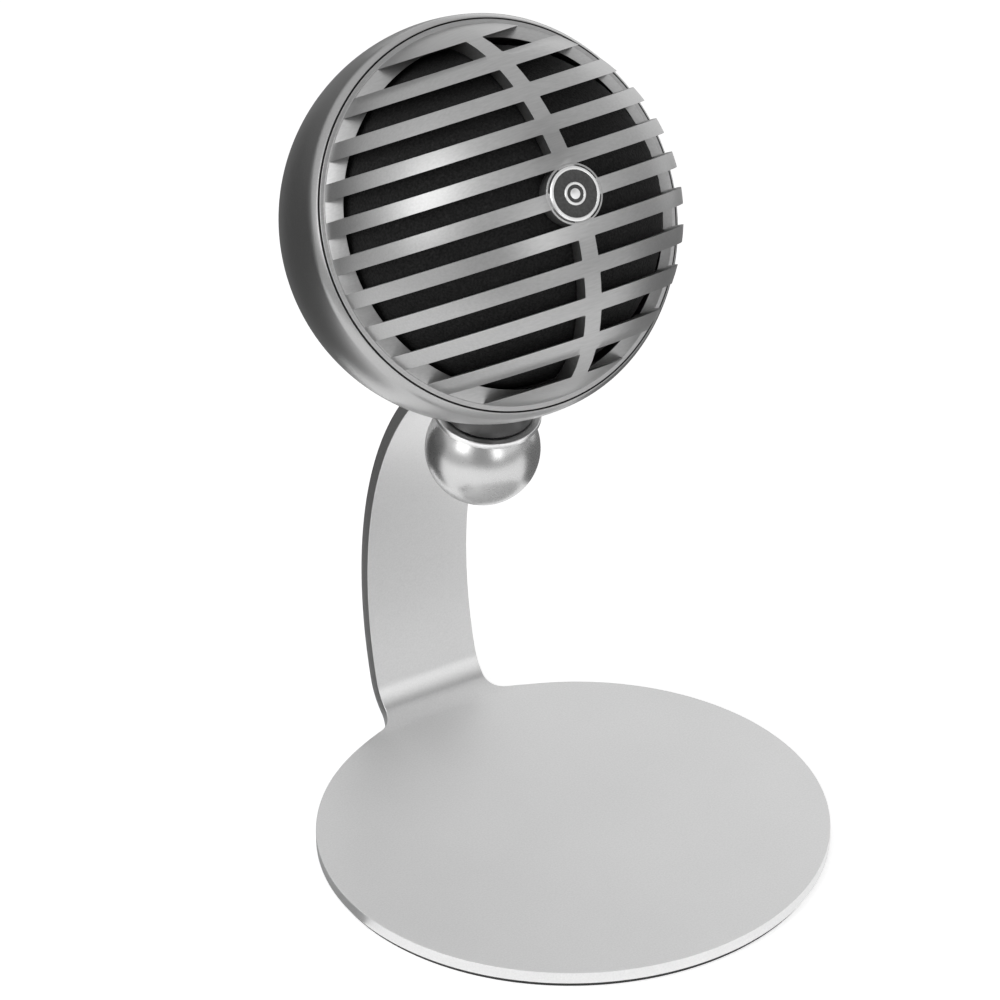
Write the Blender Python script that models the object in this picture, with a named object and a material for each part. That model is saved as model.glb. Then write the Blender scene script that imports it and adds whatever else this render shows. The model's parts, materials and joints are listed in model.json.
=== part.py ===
# Desktop microphone: a dome-grilled head tilts on a ball held by a stand bent from one plate.
# Metres, +Z up.  The microphone faces -Y and X = 0 is its plane of symmetry.
# The origin is the middle of the foot pad's underside, on the desk.
import bmesh
import bpy
from math import acos, asin, atan2, cos, pi, radians, sin, sqrt, tan
from mathutils import Matrix

MM = 0.001

# Clearance between pieces that seat on one another
GAP = 0.25 * MM
# How far a cutting tool reaches past what it cuts
OVERCUT = 2.0 * MM

# Stand: round base, bend and curved arm in one plate
BASE_R = 44.5 * MM
PLATE_T = 2.2 * MM
PAD_T = 0.7 * MM
PAD_INSET = 0.9 * MM
ARM_W = 20.4 * MM
ARM_R = 72.3 * MM
ARM_SETBACK = 6.3 * MM
ARM_ARC_HEIGHT = 24.2 * MM
BEND_R = 8.0 * MM
NECK_FILLET = 4.0 * MM
SCREW_ANGLE = radians(37.4)
SCREW_HOLE_R = 3.4 * MM
LEAST_ROW = 0.2 * MM

# Ball and its tilt hinge
BALL_R = 9.95 * MM
BALL_TO_ARM = 0.15 * MM
BALL_FLAT_DROP = 1.55 * MM
TILT_RANGE = radians(28.0)
PIN_R = 1.25 * MM
PIN_HALF = 5.4 * MM
EYE_R = 3.8 * MM
EYE_T = 3.2 * MM
FRICTION_T = 0.5 * MM
STUD_R = 2.0 * MM
SEAT_WASHER_R = 5.0 * MM
BALL_CUP_GAP = 0.3 * MM
EYE_GAP = 0.4 * MM
STUD_SIDE_GAP = 0.4 * MM
TONGUE_STEP = 0.2 * MM
FRICTION_INSET = 0.2 * MM
PLUG_SINK = 0.35 * MM
SOCKET_WALL = 0.8 * MM

# Thumb screw behind the arm
SHANK_R = 3.05 * MM
KNOB_R = 7.4 * MM
KNOB_LENGTH = 8.0 * MM
KNOB_RIBS = 20
KNOB_RIB_DEPTH = 0.45 * MM
SHANK_IN_KNOB = 5.6 * MM
SHANK_TIP = 0.6 * MM
KNOB_WASHER_R = 5.6 * MM
KNOB_WASHER_T = 0.8 * MM

# Where the head sits: its own tilt, the lean of the line from ball to head, and the gap between them
HEAD_TILT = radians(33.16)
HEAD_LEAN = radians(52.43)
NECK_GAP = 3.01 * MM

# Neck between ball and head
NECK_SLANT = radians(45.0)
BOSS_R = 8.1 * MM
BOSS_REAR = 3.8 * MM
BOSS_LENGTH = 6.5 * MM
SPIGOT_R = 6.7 * MM
SPIGOT_STEP = 0.4 * MM
SPIGOT_LIFT = 0.3 * MM
COLLAR_R = 9.35 * MM
COLLAR_REAR = 5.2 * MM
COLLAR_T = 1.1 * MM
COLLAR_RISE = 9.1 * MM
PILLAR_R = 5.2 * MM
NUT_R = 4.0 * MM
NUT_T = 3.2 * MM
NUT_CLEAR = 0.5 * MM
STUD_PROUD = 0.8 * MM
STUD_CHAMFER = 0.4 * MM

# Head housing, a bowl on one sphere whose centre is behind the dome's
BOWL_R = 34.6 * MM
BOWL_BACK = 2.2 * MM
BOWL_WALL = 2.0 * MM
LIP_FRONT = 3.6 * MM
LIP_CHAMFER = 1.6 * MM
LIP_WIDTH = 0.15 * MM
LIP_REACH = 1.25 * MM
SEAT_FLOOR = -2.8 * MM
SEAT_LEDGE = 1.95 * MM
REAR_STANDOFF = 8.0 * MM
REAR_ROUND = 5.0 * MM
REAR_WALL = 3.0 * MM
COVER_MARGIN = 3.15 * MM
COVER_SINK = 1.8 * MM
COVER_INSET = 0.2 * MM
COVER_LEDGE = 4.8 * MM

# Grille dome, its slots, spine and medallion
DOME_STEP = 0.81 * MM
SKIRT_RISE = 0.2 * MM
DOME_WALL = 3.1 * MM
SLOT_PITCH = 6.12 * MM
SLOT_HEIGHT = 3.4 * MM
SLOT_MARGIN = 2.5 * MM
SLOT_START = 4.0 * MM
SPINE_W = 3.1 * MM
COLLAR_RING_W = 2.88 * MM
COLLAR_RING_RISE = 1.97 * MM
COLLAR_RING_STEP = 0.8 * MM
COLLAR_RING_SLOPE = radians(30.0)
MEDAL_R = 4.6 * MM
MEDAL_T = 0.7 * MM
MEDAL_RIM = 0.35 * MM
MEDAL_CHAMFER = 0.3 * MM
MEDAL_BAND = 0.7 * MM
MEDAL_DISH = 0.2 * MM

# Inside the head
BAFFLE_T = 1.5 * MM
GASKET_T = 0.6 * MM
GASKET_W = 2.2 * MM
FOAM_T = 3.6 * MM
CAPSULE_R = 8.0 * MM
CAPSULE_T = 7.0 * MM
CAPSULE_CHAMFER = 0.5 * MM
CAPSULE_SUNK = 4.9 * MM
MOUNT_R = 10.5 * MM
MOUNT_HEIGHT = 13.0 * MM
MOUNT_TAPER = 0.7 * MM
LEAD_R = 0.7 * MM
BOARD_MARGIN = 1.2 * MM
BOARD_T = 1.6 * MM
BOARD_STANDOFF = 6.2 * MM
BOARD_SCREW_INSET = 2.8 * MM
BOARD_PILLAR_R = 2.1 * MM
SCREW_STEM_R = 0.85 * MM
SCREW_HEAD_R = 1.8 * MM
COVER_SCREW_HEAD_T = 0.85 * MM
BOARD_SCREW_HEAD_T = 1.15 * MM
BOARD_SCREW_DEPTH = 4.0 * MM
SCREW_SHOULDER = 0.05 * MM

# Controls and sockets on the rear cover
BUTTON_PROUD = 0.6 * MM
BUTTON_FLANGE = 0.6 * MM
BUTTON_FLANGE_W = 0.7 * MM
BUTTON_GAP = 0.7 * MM
BUTTON_SOFT = 0.3 * MM
BUTTON_TRAVEL = 0.4 * MM
FLANGE_RAMP = 0.02 * MM
MODE_HALF_W = 4.6 * MM
MODE_R = 2.3 * MM
MODE_UP = 3.6 * MM
MUTE_R = 2.6 * MM
SWITCH_W = 5.0 * MM
SWITCH_GAP = 0.5 * MM
GUIDE_R = 0.9 * MM
GUIDE_INSET = 7.8 * MM
GUIDE_PITCH = 5.0 * MM
LAMP_T = 0.7 * MM
LAMP_W = 1.8 * MM
LAMP_H = 1.2 * MM
SOCKET_INSET = 5.9 * MM
SOCKET_TURN = radians(45.5)
USB_W = 7.6 * MM
USB_H = 2.9 * MM
USB_WALL = 0.5 * MM
USB_DEPTH = 5.0 * MM
USB_SINK = 0.1 * MM
JACK_R = 3.0 * MM
JACK_BORE_R = 1.85 * MM
JACK_BLOCK = 6.4 * MM
JACK_STEP_GAP = 0.3 * MM

# Facet counts
HEAD_SEGMENTS = 48
MID_SEGMENTS = 28
SMALL_SEGMENTS = 16

# Values that follow from the ones above
PLATE_TOP = PAD_T + GAP + PLATE_T
ARC_Y = BASE_R + ARM_SETBACK - ARM_R
ARC_Z = PLATE_TOP + ARM_ARC_HEIGHT
BEND_Y = ARC_Y + sqrt((ARM_R - BEND_R) ** 2 - (ARM_ARC_HEIGHT - BEND_R) ** 2)
ARC_START = atan2(BEND_R - ARM_ARC_HEIGHT, BEND_Y - ARC_Y)
BEND_ANGLE = pi / 2 + ARC_START
BALL_OFFSET = BALL_R + BALL_TO_ARM
BALL_Y = ARC_Y + (ARM_R - BALL_OFFSET) * cos(SCREW_ANGLE)
BALL_Z = ARC_Z + (ARM_R - BALL_OFFSET) * sin(SCREW_ANGLE)
NECK_REST = NECK_SLANT - HEAD_TILT
HEAD_REACH = BALL_R + NECK_GAP + BOWL_R
HEAD_UP = HEAD_REACH * sin(HEAD_LEAN)
HEAD_FRONT = HEAD_REACH * cos(HEAD_LEAN)
SEAT_R = BOWL_R - LIP_REACH
DOME_R = SEAT_R - DOME_STEP
SLOT_REACH = sqrt(DOME_R ** 2 - SLOT_START ** 2) - SLOT_MARGIN - SLOT_HEIGHT / 2
SLOT_PAIRS = int(SLOT_REACH / SLOT_PITCH + 0.5)
REAR_DEPTH = HEAD_FRONT - REAR_STANDOFF
REAR_ROUND_R = sqrt((BOWL_R - REAR_ROUND) ** 2 - (REAR_DEPTH - REAR_ROUND - BOWL_BACK) ** 2)
COVER_R = REAR_ROUND_R - COVER_MARGIN
REAR_OPENING_R = COVER_R - COVER_LEDGE
COVER_SCREW_RING = COVER_R - COVER_LEDGE / 2
BOARD_R = REAR_OPENING_R - BOARD_MARGIN
PILLAR_SCREW_R = BOARD_R - BOARD_SCREW_INSET
MUTE_UP = MODE_UP - MODE_R - MUTE_R - 2 * BUTTON_FLANGE_W - BUTTON_GAP
GUIDE_UP = REAR_OPENING_R - GUIDE_INSET
SOCKET_SIDE = (REAR_OPENING_R - SOCKET_INSET) * cos(SOCKET_TURN)
SOCKET_UP = -(REAR_OPENING_R - SOCKET_INSET) * sin(SOCKET_TURN)
SCREW_CLEAR_R = SCREW_STEM_R + GAP
BALL_CLEAR = BALL_R + BALL_CUP_GAP
SLOT_HALF = EYE_T / 2 + FRICTION_T + 2 * GAP
EYE_CLEAR = EYE_R + EYE_GAP
PIN_HOLE_R = PIN_R + GAP
BALL_FLAT = BALL_R - BALL_FLAT_DROP
SOCKET_FLOOR = EYE_CLEAR + SOCKET_WALL
ARM_BACK = BALL_OFFSET + PLATE_T
KNOB_FRONT = ARM_BACK + KNOB_WASHER_T + 2 * GAP
REAR_INSIDE = REAR_WALL - REAR_DEPTH
NUT_SEAT = (HEAD_FRONT + REAR_INSIDE + NUT_R * sin(NECK_SLANT) + NUT_CLEAR) / cos(NECK_SLANT)
STUD_TOP = NUT_SEAT + GAP + NUT_T + STUD_PROUD
COVER_OUT = COVER_INSET - REAR_DEPTH
COVER_IN = COVER_SINK - REAR_DEPTH - GAP
BOARD_BACK = COVER_IN + BOARD_STANDOFF + GAP
BOARD_FRONT = BOARD_BACK + BOARD_T
BAFFLE_BACK = SEAT_FLOOR + GAP
BAFFLE_FRONT = BAFFLE_BACK + BAFFLE_T
GASKET_BACK = BAFFLE_FRONT + GAP
GRILLE_BACK = GASKET_BACK + GASKET_T + GAP
DOME_IN = DOME_R - DOME_WALL
MEDAL_FLOOR = DOME_R - MEDAL_T - GAP
MEDAL_PAD_R = MEDAL_R + GAP + MEDAL_RIM

for old in list(bpy.data.objects):
    bpy.data.objects.remove(old, do_unlink=True)


# Materials, one for each surface that the pieces have

def make_material(name, colour, metallic, roughness):
    made = bpy.data.materials.new(name)
    made.use_nodes = True
    shader = made.node_tree.nodes["Principled BSDF"]
    shader.inputs["Base Color"].default_value = (*colour, 1.0)
    shader.inputs["Metallic"].default_value = metallic
    shader.inputs["Roughness"].default_value = roughness
    made.diffuse_color = (*colour, 1.0)
    return made


ALUMINIUM = make_material("satin_aluminium", (0.58, 0.58, 0.58), 0.9, 0.36)
DARK_METAL = make_material("graphite_paint", (0.13, 0.13, 0.135), 0.5, 0.42)
BAR_METAL = make_material("grille_silver", (0.32, 0.32, 0.325), 0.7, 0.38)
CHROME = make_material("satin_chrome", (0.62, 0.62, 0.62), 1.0, 0.2)
STEEL = make_material("plain_steel", (0.45, 0.45, 0.46), 1.0, 0.4)
RUBBER = make_material("black_rubber", (0.03, 0.03, 0.03), 0.0, 0.8)
FOAM = make_material("black_foam", (0.012, 0.012, 0.012), 0.0, 0.95)
PLASTIC = make_material("black_plastic", (0.03, 0.03, 0.032), 0.0, 0.5)
BOARD = make_material("green_board", (0.02, 0.10, 0.04), 0.0, 0.5)
BRASS = make_material("brass_can", (0.6, 0.45, 0.2), 1.0, 0.35)
CLEAR = make_material("clear_guide", (0.8, 0.82, 0.8), 0.0, 0.2)


# Empties that carry the pieces

def make_empty(name, place, turn, parent=None):
    empty = bpy.data.objects.new(name, None)
    empty.empty_display_size = 0.01
    empty.location = place
    empty.rotation_euler = (turn, 0.0, 0.0)
    empty.parent = parent
    bpy.context.scene.collection.objects.link(empty)
    return empty


STAND = make_empty("stand", (0.0, 0.0, 0.0), 0.0)
BALL = make_empty("ball_centre", (0.0, BALL_Y, BALL_Z), 0.0, STAND)
SCREW = make_empty("screw_axis", (0.0, BALL_Y, BALL_Z), SCREW_ANGLE - pi / 2, STAND)
TILT = make_empty("tilt_axis", (0.0, BALL_Y, BALL_Z), pi / 2 - HEAD_TILT, STAND)
NECK = make_empty("neck_axis", (0.0, 0.0, 0.0), -NECK_SLANT, TILT)
HEAD = make_empty("head_centre", (0.0, HEAD_UP, HEAD_FRONT), 0.0, TILT)
MODE = make_empty("mode_button_axis", (0.0, MODE_UP, 0.0), 0.0, HEAD)
MUTE = make_empty("mute_button_axis", (0.0, MUTE_UP, 0.0), 0.0, HEAD)


# Mesh helpers

def add_piece(name, bm, parent, material, smooth=True):
    bmesh.ops.remove_doubles(bm, verts=bm.verts[:], dist=1e-7)
    bmesh.ops.recalc_face_normals(bm, faces=bm.faces[:])
    mesh = bpy.data.meshes.new(name)
    bm.to_mesh(mesh)
    bm.free()
    if smooth:
        mesh.shade_smooth()
        mesh.set_sharp_from_angle(angle=radians(30.0))
    piece = bpy.data.objects.new(name, mesh)
    piece.parent = parent
    if material is not None:
        mesh.materials.append(material)
    bpy.context.scene.collection.objects.link(piece)
    return piece


def arc(centre, radius, start, end, steps):
    turns = [start + (end - start) * i / steps for i in range(steps + 1)]
    return [(centre[0] + radius * cos(a), centre[1] + radius * sin(a)) for a in turns]


def turned(bm, profile, segments):
    # A closed loop of (radius, height) points turned about Z
    verts = [bm.verts.new((r, 0.0, h)) for r, h in profile]
    edges = []
    for i, vert in enumerate(verts):
        after = verts[(i + 1) % len(verts)]
        if abs(vert.co.x) > 1e-9 or abs(after.co.x) > 1e-9:
            edges.append(bm.edges.new((vert, after)))
    bmesh.ops.spin(bm, geom=verts + edges, cent=(0.0, 0.0, 0.0), axis=(0.0, 0.0, 1.0),
                   angle=2 * pi, steps=segments, use_merge=True)
    loose = [v for v in bm.verts if not v.link_faces]
    bmesh.ops.delete(bm, geom=loose, context="VERTS")


def lathe(name, profile, parent, material, segments=MID_SEGMENTS):
    bm = bmesh.new()
    turned(bm, profile, segments)
    return add_piece(name, bm, parent, material)


def pushed(bm, outline, low, high):
    # A flat outline in XY pushed along Z from low to high
    bottom = [bm.verts.new((x, y, low)) for x, y in outline]
    top = [bm.verts.new((x, y, high)) for x, y in outline]
    bm.faces.new(bottom[::-1])
    bm.faces.new(top)
    for i in range(len(outline)):
        j = (i + 1) % len(outline)
        bm.faces.new((bottom[i], bottom[j], top[j], top[i]))


def prism(name, outline, low, high, parent, material, smooth=True):
    bm = bmesh.new()
    pushed(bm, outline, low, high)
    return add_piece(name, bm, parent, material, smooth)


def stacked(bm, levels):
    # Outlines with the same number of points, joined one above the other and closed at both ends
    loops = [[bm.verts.new((x, y, level)) for x, y in outline] for outline, level in levels]
    bm.faces.new(loops[0])
    bm.faces.new(loops[-1])
    for below, above in zip(loops, loops[1:]):
        for i in range(len(below)):
            j = (i + 1) % len(below)
            bm.faces.new((below[i], below[j], above[j], above[i]))


def slab(name, outline, low, high, parent, material):
    # An outline in YZ pushed along X from low to high
    bm = bmesh.new()
    pushed(bm, outline, low, high)
    swap = Matrix(((0, 0, 1, 0), (1, 0, 0, 0), (0, 1, 0, 0), (0, 0, 0, 1)))
    bmesh.ops.transform(bm, matrix=swap, verts=bm.verts[:])
    return add_piece(name, bm, parent, material)


def ring(radius, segments=SMALL_SEGMENTS, at=(0.0, 0.0)):
    return arc(at, radius, 0.0, 2 * pi, segments)[:-1]


def rectangle(half_w, half_h, at=(0.0, 0.0)):
    corners = ((-1, -1), (1, -1), (1, 1), (-1, 1))
    return [(at[0] + sx * half_w, at[1] + sy * half_h) for sx, sy in corners]


def pill(half_w, radius, at=(0.0, 0.0)):
    reach = half_w - radius
    right = arc((at[0] + reach, at[1]), radius, -pi / 2, pi / 2, 8)
    left = arc((at[0] - reach, at[1]), radius, pi / 2, 3 * pi / 2, 8)
    return right + left


def rod(radius, low, high):
    return [(0.0, low), (radius, low), (radius, high), (0.0, high)]


def tube(inner, outer, low, high):
    return [(inner, low), (outer, low), (outer, high), (inner, high)]


def shape_with(piece, tool, operation="DIFFERENCE"):
    tool.hide_render = True
    tool.display_type = "WIRE"
    change = piece.modifiers.new(tool.name, "BOOLEAN")
    change.operation = operation
    change.solver = "EXACT"
    change.object = tool
    return piece


# Stand frame: a flat blank, its half width at each length, folded along the bend and the arm's arc

ARC_LENGTH_START = BEND_Y + BEND_R * BEND_ANGLE
HOLE_LENGTH = ARC_LENGTH_START + ARM_R * (SCREW_ANGLE - ARC_START)


def folded(x, length, depth):
    if length <= BEND_Y:
        return (x, length, PLATE_TOP - depth)
    if length <= ARC_LENGTH_START:
        turn = (length - BEND_Y) / BEND_R
        reach = BEND_R + depth
        return (x, BEND_Y + reach * sin(turn), PLATE_TOP + BEND_R - reach * cos(turn))
    turn = ARC_START + (length - ARC_LENGTH_START) / ARM_R
    reach = ARM_R + depth
    return (x, ARC_Y + reach * cos(turn), ARC_Z + reach * sin(turn))


def spread(start, end, steps):
    return [start + (end - start) * i / steps for i in range(steps + 1)]


half = ARM_W / 2
fillet_x = half + NECK_FILLET
fillet_y = sqrt((BASE_R + NECK_FILLET) ** 2 - fillet_x ** 2)
touch_y = fillet_y * BASE_R / (BASE_R + NECK_FILLET)


def half_width(length):
    if length <= touch_y:
        return sqrt(BASE_R ** 2 - length ** 2)
    if length <= fillet_y:
        return fillet_x - sqrt(max(NECK_FILLET ** 2 - (fillet_y - length) ** 2, 0.0))
    if length <= HOLE_LENGTH:
        return half
    return sqrt(max(half ** 2 - (length - HOLE_LENGTH) ** 2, 0.0))


flat_end = min(BEND_Y, touch_y)
lengths = spread(flat_end, touch_y, 2) if flat_end < touch_y else [touch_y]
lengths += [fillet_y - NECK_FILLET * sin(a) for a in spread(asin((fillet_y - touch_y) / NECK_FILLET), 0.0, 5)]
lengths += spread(BEND_Y, ARC_LENGTH_START, 9)
lengths += spread(ARC_LENGTH_START, HOLE_LENGTH, 18)
lengths += [HOLE_LENGTH + half * sin(radians(a)) for a in (15, 30, 45, 60, 72, 82)]
rows = []
for length in sorted(lengths):
    if not rows or length > rows[-1][0] + LEAST_ROW:
        rows.append((length, half_width(length)))

bm = bmesh.new()
disc_from = asin(flat_end / BASE_R)
disc = arc((0.0, 0.0), BASE_R, pi - disc_from, 2 * pi + disc_from, 84)[1:-1]
faces_at = {}
for depth in (0.0, PLATE_T):
    left = [bm.verts.new(folded(-w, y, depth)) for y, w in rows]
    right = [bm.verts.new(folded(w, y, depth)) for y, w in rows]
    round_edge = [bm.verts.new(folded(x, y, depth)) for x, y in disc]
    bm.faces.new([left[0]] + round_edge + [right[0]])
    for i in range(len(rows) - 1):
        bm.faces.new((left[i], right[i], right[i + 1], left[i + 1]))
    faces_at[depth] = left[::-1] + round_edge + right
upper = faces_at[0.0]
lower = faces_at[PLATE_T]
for i in range(len(upper)):
    j = (i + 1) % len(upper)
    bm.faces.new((upper[i], upper[j], lower[j], lower[i]))
stand_frame = add_piece("stand_frame", bm, STAND, ALUMINIUM)
arm_hole = lathe("cut_arm_hole", rod(SCREW_HOLE_R, BALL_OFFSET - OVERCUT, ARM_BACK + OVERCUT), SCREW, None)
shape_with(stand_frame, arm_hole)

pad_r = BASE_R - PAD_INSET
lathe("foot_pad", rod(pad_r, 0.0, PAD_T), STAND, RUBBER, HEAD_SEGMENTS)


# Ball, slotted for the stud, with its axle, plug and washers

pivot_ball = lathe("pivot_ball", arc((0.0, 0.0), BALL_R, -pi / 2, pi / 2, 16), BALL, CHROME, MID_SEGMENTS)


def neck_way(turn, along, across):
    return (cos(turn) * across - sin(turn) * along, sin(turn) * across + cos(turn) * along)


slot_side = STUD_R + STUD_SIDE_GAP
slot_out = BALL_R + 2 * OVERCUT
slot_in = sqrt(max(EYE_CLEAR ** 2 - slot_side ** 2, 0.0))
forward = NECK_REST + TILT_RANGE
slot_outline = [neck_way(forward, slot_in, -slot_side), neck_way(forward, slot_out, -slot_side)]
slot_outline.append(neck_way(NECK_REST + TILT_RANGE / 2, slot_out * 1.3, 0.0))
slot_outline.append(neck_way(NECK_REST, slot_out, slot_side))
slot_outline.append(neck_way(NECK_REST, slot_in, slot_side))
side_turn = asin(slot_side / EYE_CLEAR)
round_from = pi / 2 + NECK_REST - side_turn
round_to = pi / 2 + forward + side_turn - 2 * pi
slot_outline += arc((0.0, 0.0), EYE_CLEAR, round_from, round_to, 16)[1:-1]
shape_with(pivot_ball, slab("cut_ball_slot", slot_outline, -SLOT_HALF, SLOT_HALF, BALL, None))
pin_low = -PIN_HALF - GAP
shape_with(pivot_ball, slab("cut_pin_hole", ring(PIN_HOLE_R, 12), pin_low, BALL_R + OVERCUT, BALL, None))
socket = [(0.0, SOCKET_FLOOR), (SHANK_R + GAP, SOCKET_FLOOR), (SHANK_R + GAP, BALL_FLAT)]
socket += [(BALL_R, BALL_FLAT), (BALL_R, BALL_R + OVERCUT), (0.0, BALL_R + OVERCUT)]
shape_with(pivot_ball, lathe("cut_screw_socket", socket, SCREW, None, SMALL_SEGMENTS))

slab("hinge_pin", ring(PIN_R, 12), -PIN_HALF, PIN_HALF, BALL, STEEL)
slab("pin_plug", ring(PIN_R, 12), PIN_HALF + GAP, BALL_R - PLUG_SINK, BALL, CHROME)
for side, name in ((-1, "friction_washer_left"), (1, "friction_washer_right")):
    near = EYE_T / 2 + GAP
    low = near if side > 0 else -near - FRICTION_T
    bm = bmesh.new()
    turned(bm, tube(PIN_R + GAP, EYE_R - FRICTION_INSET, low, low + FRICTION_T), SMALL_SEGMENTS)
    bmesh.ops.rotate(bm, cent=(0, 0, 0), matrix=Matrix.Rotation(pi / 2, 3, "Y"), verts=bm.verts[:])
    add_piece(name, bm, BALL, STEEL)

arm_sag = ARM_R - sqrt(ARM_R ** 2 - SEAT_WASHER_R ** 2)
washer_far = BALL_OFFSET - arm_sag - GAP
washer = tube(SHANK_R + GAP, SEAT_WASHER_R, BALL_FLAT + GAP, washer_far)
lathe("seat_washer", washer, SCREW, RUBBER, SMALL_SEGMENTS)


# Thumb screw: knurled knob on a threaded shank

knob_washer = tube(SHANK_R + GAP, KNOB_WASHER_R, ARM_BACK + GAP, ARM_BACK + GAP + KNOB_WASHER_T)
lathe("knob_washer", knob_washer, SCREW, STEEL, SMALL_SEGMENTS)
knob_outline = []
for i in range(KNOB_RIBS):
    turn = 2 * pi * i / KNOB_RIBS
    step = 2 * pi / KNOB_RIBS
    for reach, share in ((KNOB_R - KNOB_RIB_DEPTH, 0.0), (KNOB_R, 0.3), (KNOB_R, 0.7)):
        knob_outline.append((reach * cos(turn + step * share), reach * sin(turn + step * share)))
knob_far = KNOB_FRONT + KNOB_LENGTH
thumb_knob = prism("thumb_knob", knob_outline, KNOB_FRONT, knob_far, SCREW, ALUMINIUM, False)
shank_far = KNOB_FRONT + SHANK_IN_KNOB
knob_bore = rod(SHANK_R + GAP, KNOB_FRONT - OVERCUT, shank_far + GAP)
shape_with(thumb_knob, lathe("cut_knob_bore", knob_bore, SCREW, None, SMALL_SEGMENTS))
shank_low = SOCKET_FLOOR + GAP
shank = [(0.0, shank_low), (SHANK_R - SHANK_TIP, shank_low), (SHANK_R, shank_low + SHANK_TIP)]
shank += [(SHANK_R, shank_far), (0.0, shank_far)]
lathe("thumb_shank", shank, SCREW, STEEL, SMALL_SEGMENTS)


# Rear housing: the bowl, then the neck boss and stud pillar joined to it, then its bores

bowl_in = BOWL_R - BOWL_WALL
wall_r = SEAT_R - SEAT_LEDGE
lip_edge = LIP_FRONT - LIP_CHAMFER
round_z = REAR_ROUND - REAR_DEPTH
round_turn = atan2(round_z + BOWL_BACK, REAR_ROUND_R)
bowl_middle = (0.0, -BOWL_BACK)
bowl = [(SEAT_R, LIP_FRONT), (SEAT_R + LIP_WIDTH, LIP_FRONT)]
bowl += arc(bowl_middle, BOWL_R, asin((lip_edge + BOWL_BACK) / BOWL_R), round_turn, 8)
bowl += arc((REAR_ROUND_R, round_z), REAR_ROUND, round_turn, -pi / 2, 4)[1:]
bowl += [(0.0, -REAR_DEPTH), (0.0, REAR_INSIDE)]
inside_turn = asin((REAR_INSIDE + BOWL_BACK) / bowl_in)
bowl += arc(bowl_middle, bowl_in, inside_turn, -acos(min(wall_r / bowl_in, 1.0)), 2)
bowl += [(wall_r, SEAT_FLOOR), (SEAT_R, SEAT_FLOOR)]
rear_housing = lathe("rear_housing", bowl, HEAD, DARK_METAL, HEAD_SEGMENTS)


def flat_sided(radius, rear, steps=28):
    # A round outline with a flat on its rear side
    cut = acos(min(rear / radius, 1.0))
    return arc((0.0, 0.0), radius, pi / 2 + cut, 5 * pi / 2 - cut, steps)


boss_low = COLLAR_RISE + GAP
boss_in = boss_low + BOSS_LENGTH
spigot_low = COLLAR_RISE - COLLAR_T + SPIGOT_LIFT
spigot_rear = BOSS_REAR - SPIGOT_STEP
spigot = flat_sided(SPIGOT_R, spigot_rear)
boss = flat_sided(BOSS_R, BOSS_REAR)
pillar = flat_sided(PILLAR_R, spigot_rear)
bm = bmesh.new()
post = [(spigot, spigot_low), (spigot, boss_low), (boss, boss_low), (boss, boss_in)]
stacked(bm, post + [(pillar, boss_in), (pillar, NUT_SEAT)])
shape_with(rear_housing, add_piece("add_neck_post", bm, NECK, None), "UNION")
cup = lathe("cut_ball_cup", arc((0.0, 0.0), BALL_CLEAR, -pi / 2, pi / 2, 16), NECK, None, MID_SEGMENTS)
shape_with(rear_housing, cup)
stud_bore = rod(STUD_R + GAP, OVERCUT, STUD_TOP + 2 * OVERCUT)
shape_with(rear_housing, lathe("cut_stud_bore", stud_bore, NECK, None, SMALL_SEGMENTS))
recess_back = -REAR_DEPTH - OVERCUT
recess = [(0.0, recess_back), (COVER_R + GAP, recess_back), (COVER_R + GAP, COVER_SINK - REAR_DEPTH)]
recess += [(REAR_OPENING_R, COVER_SINK - REAR_DEPTH), (REAR_OPENING_R, REAR_INSIDE + OVERCUT)]
recess += [(0.0, REAR_INSIDE + OVERCUT)]
cover_screw_turns = [radians(a) for a in (90, 210, 330)]
shape_with(rear_housing, lathe("cut_rear_recess", recess, HEAD, None, 40))
bm = bmesh.new()
for turn in cover_screw_turns:
    spot = (COVER_SCREW_RING * cos(turn), COVER_SCREW_RING * sin(turn))
    pushed(bm, ring(SCREW_CLEAR_R, 8, spot), recess_back, REAR_INSIDE + OVERCUT)
shape_with(rear_housing, add_piece("cut_cover_screw_holes", bm, HEAD, None))

# Collar under the boss, a horseshoe that opens at the rear where it meets the arm
collar_low = COLLAR_RISE - COLLAR_T
collar_outer = flat_sided(COLLAR_R, COLLAR_REAR, 48)
swivel_collar = prism("swivel_collar", collar_outer, collar_low, COLLAR_RISE, NECK, ALUMINIUM)
hole = ring(SPIGOT_R + GAP, 40)
collar_hole = prism("cut_collar_hole", hole, collar_low - OVERCUT, COLLAR_RISE + OVERCUT, NECK, None)
shape_with(swivel_collar, collar_hole)

# Stud with its flat eye on the hinge pin, and the nut that holds it in the pillar
stud = [(0.0, EYE_CLEAR), (STUD_R, EYE_CLEAR), (STUD_R, STUD_TOP - STUD_CHAMFER)]
stud += [(STUD_R - STUD_CHAMFER, STUD_TOP), (0.0, STUD_TOP)]
tilt_stud = lathe("tilt_stud", stud, NECK, STEEL, SMALL_SEGMENTS)
tongue = STUD_R - TONGUE_STEP
tongue_turn = asin(tongue / EYE_R)
eye_outline = arc((0.0, 0.0), EYE_R, pi / 2 + tongue_turn, 5 * pi / 2 - tongue_turn, 20)
eye_outline += [(tongue, EYE_CLEAR + OVERCUT), (-tongue, EYE_CLEAR + OVERCUT)]
eye = slab("add_stud_eye", eye_outline, -EYE_T / 2, EYE_T / 2, NECK, None)
shape_with(tilt_stud, eye, "UNION")
shape_with(tilt_stud, slab("cut_stud_eye", ring(PIN_HOLE_R, 16), -EYE_T, EYE_T, NECK, None))
nut_low = NUT_SEAT + GAP
stud_nut = prism("stud_nut", ring(NUT_R, 6), nut_low, nut_low + NUT_T, NECK, STEEL, False)
shape_with(stud_nut, lathe("cut_nut_bore", stud_bore, NECK, None, SMALL_SEGMENTS))


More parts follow.
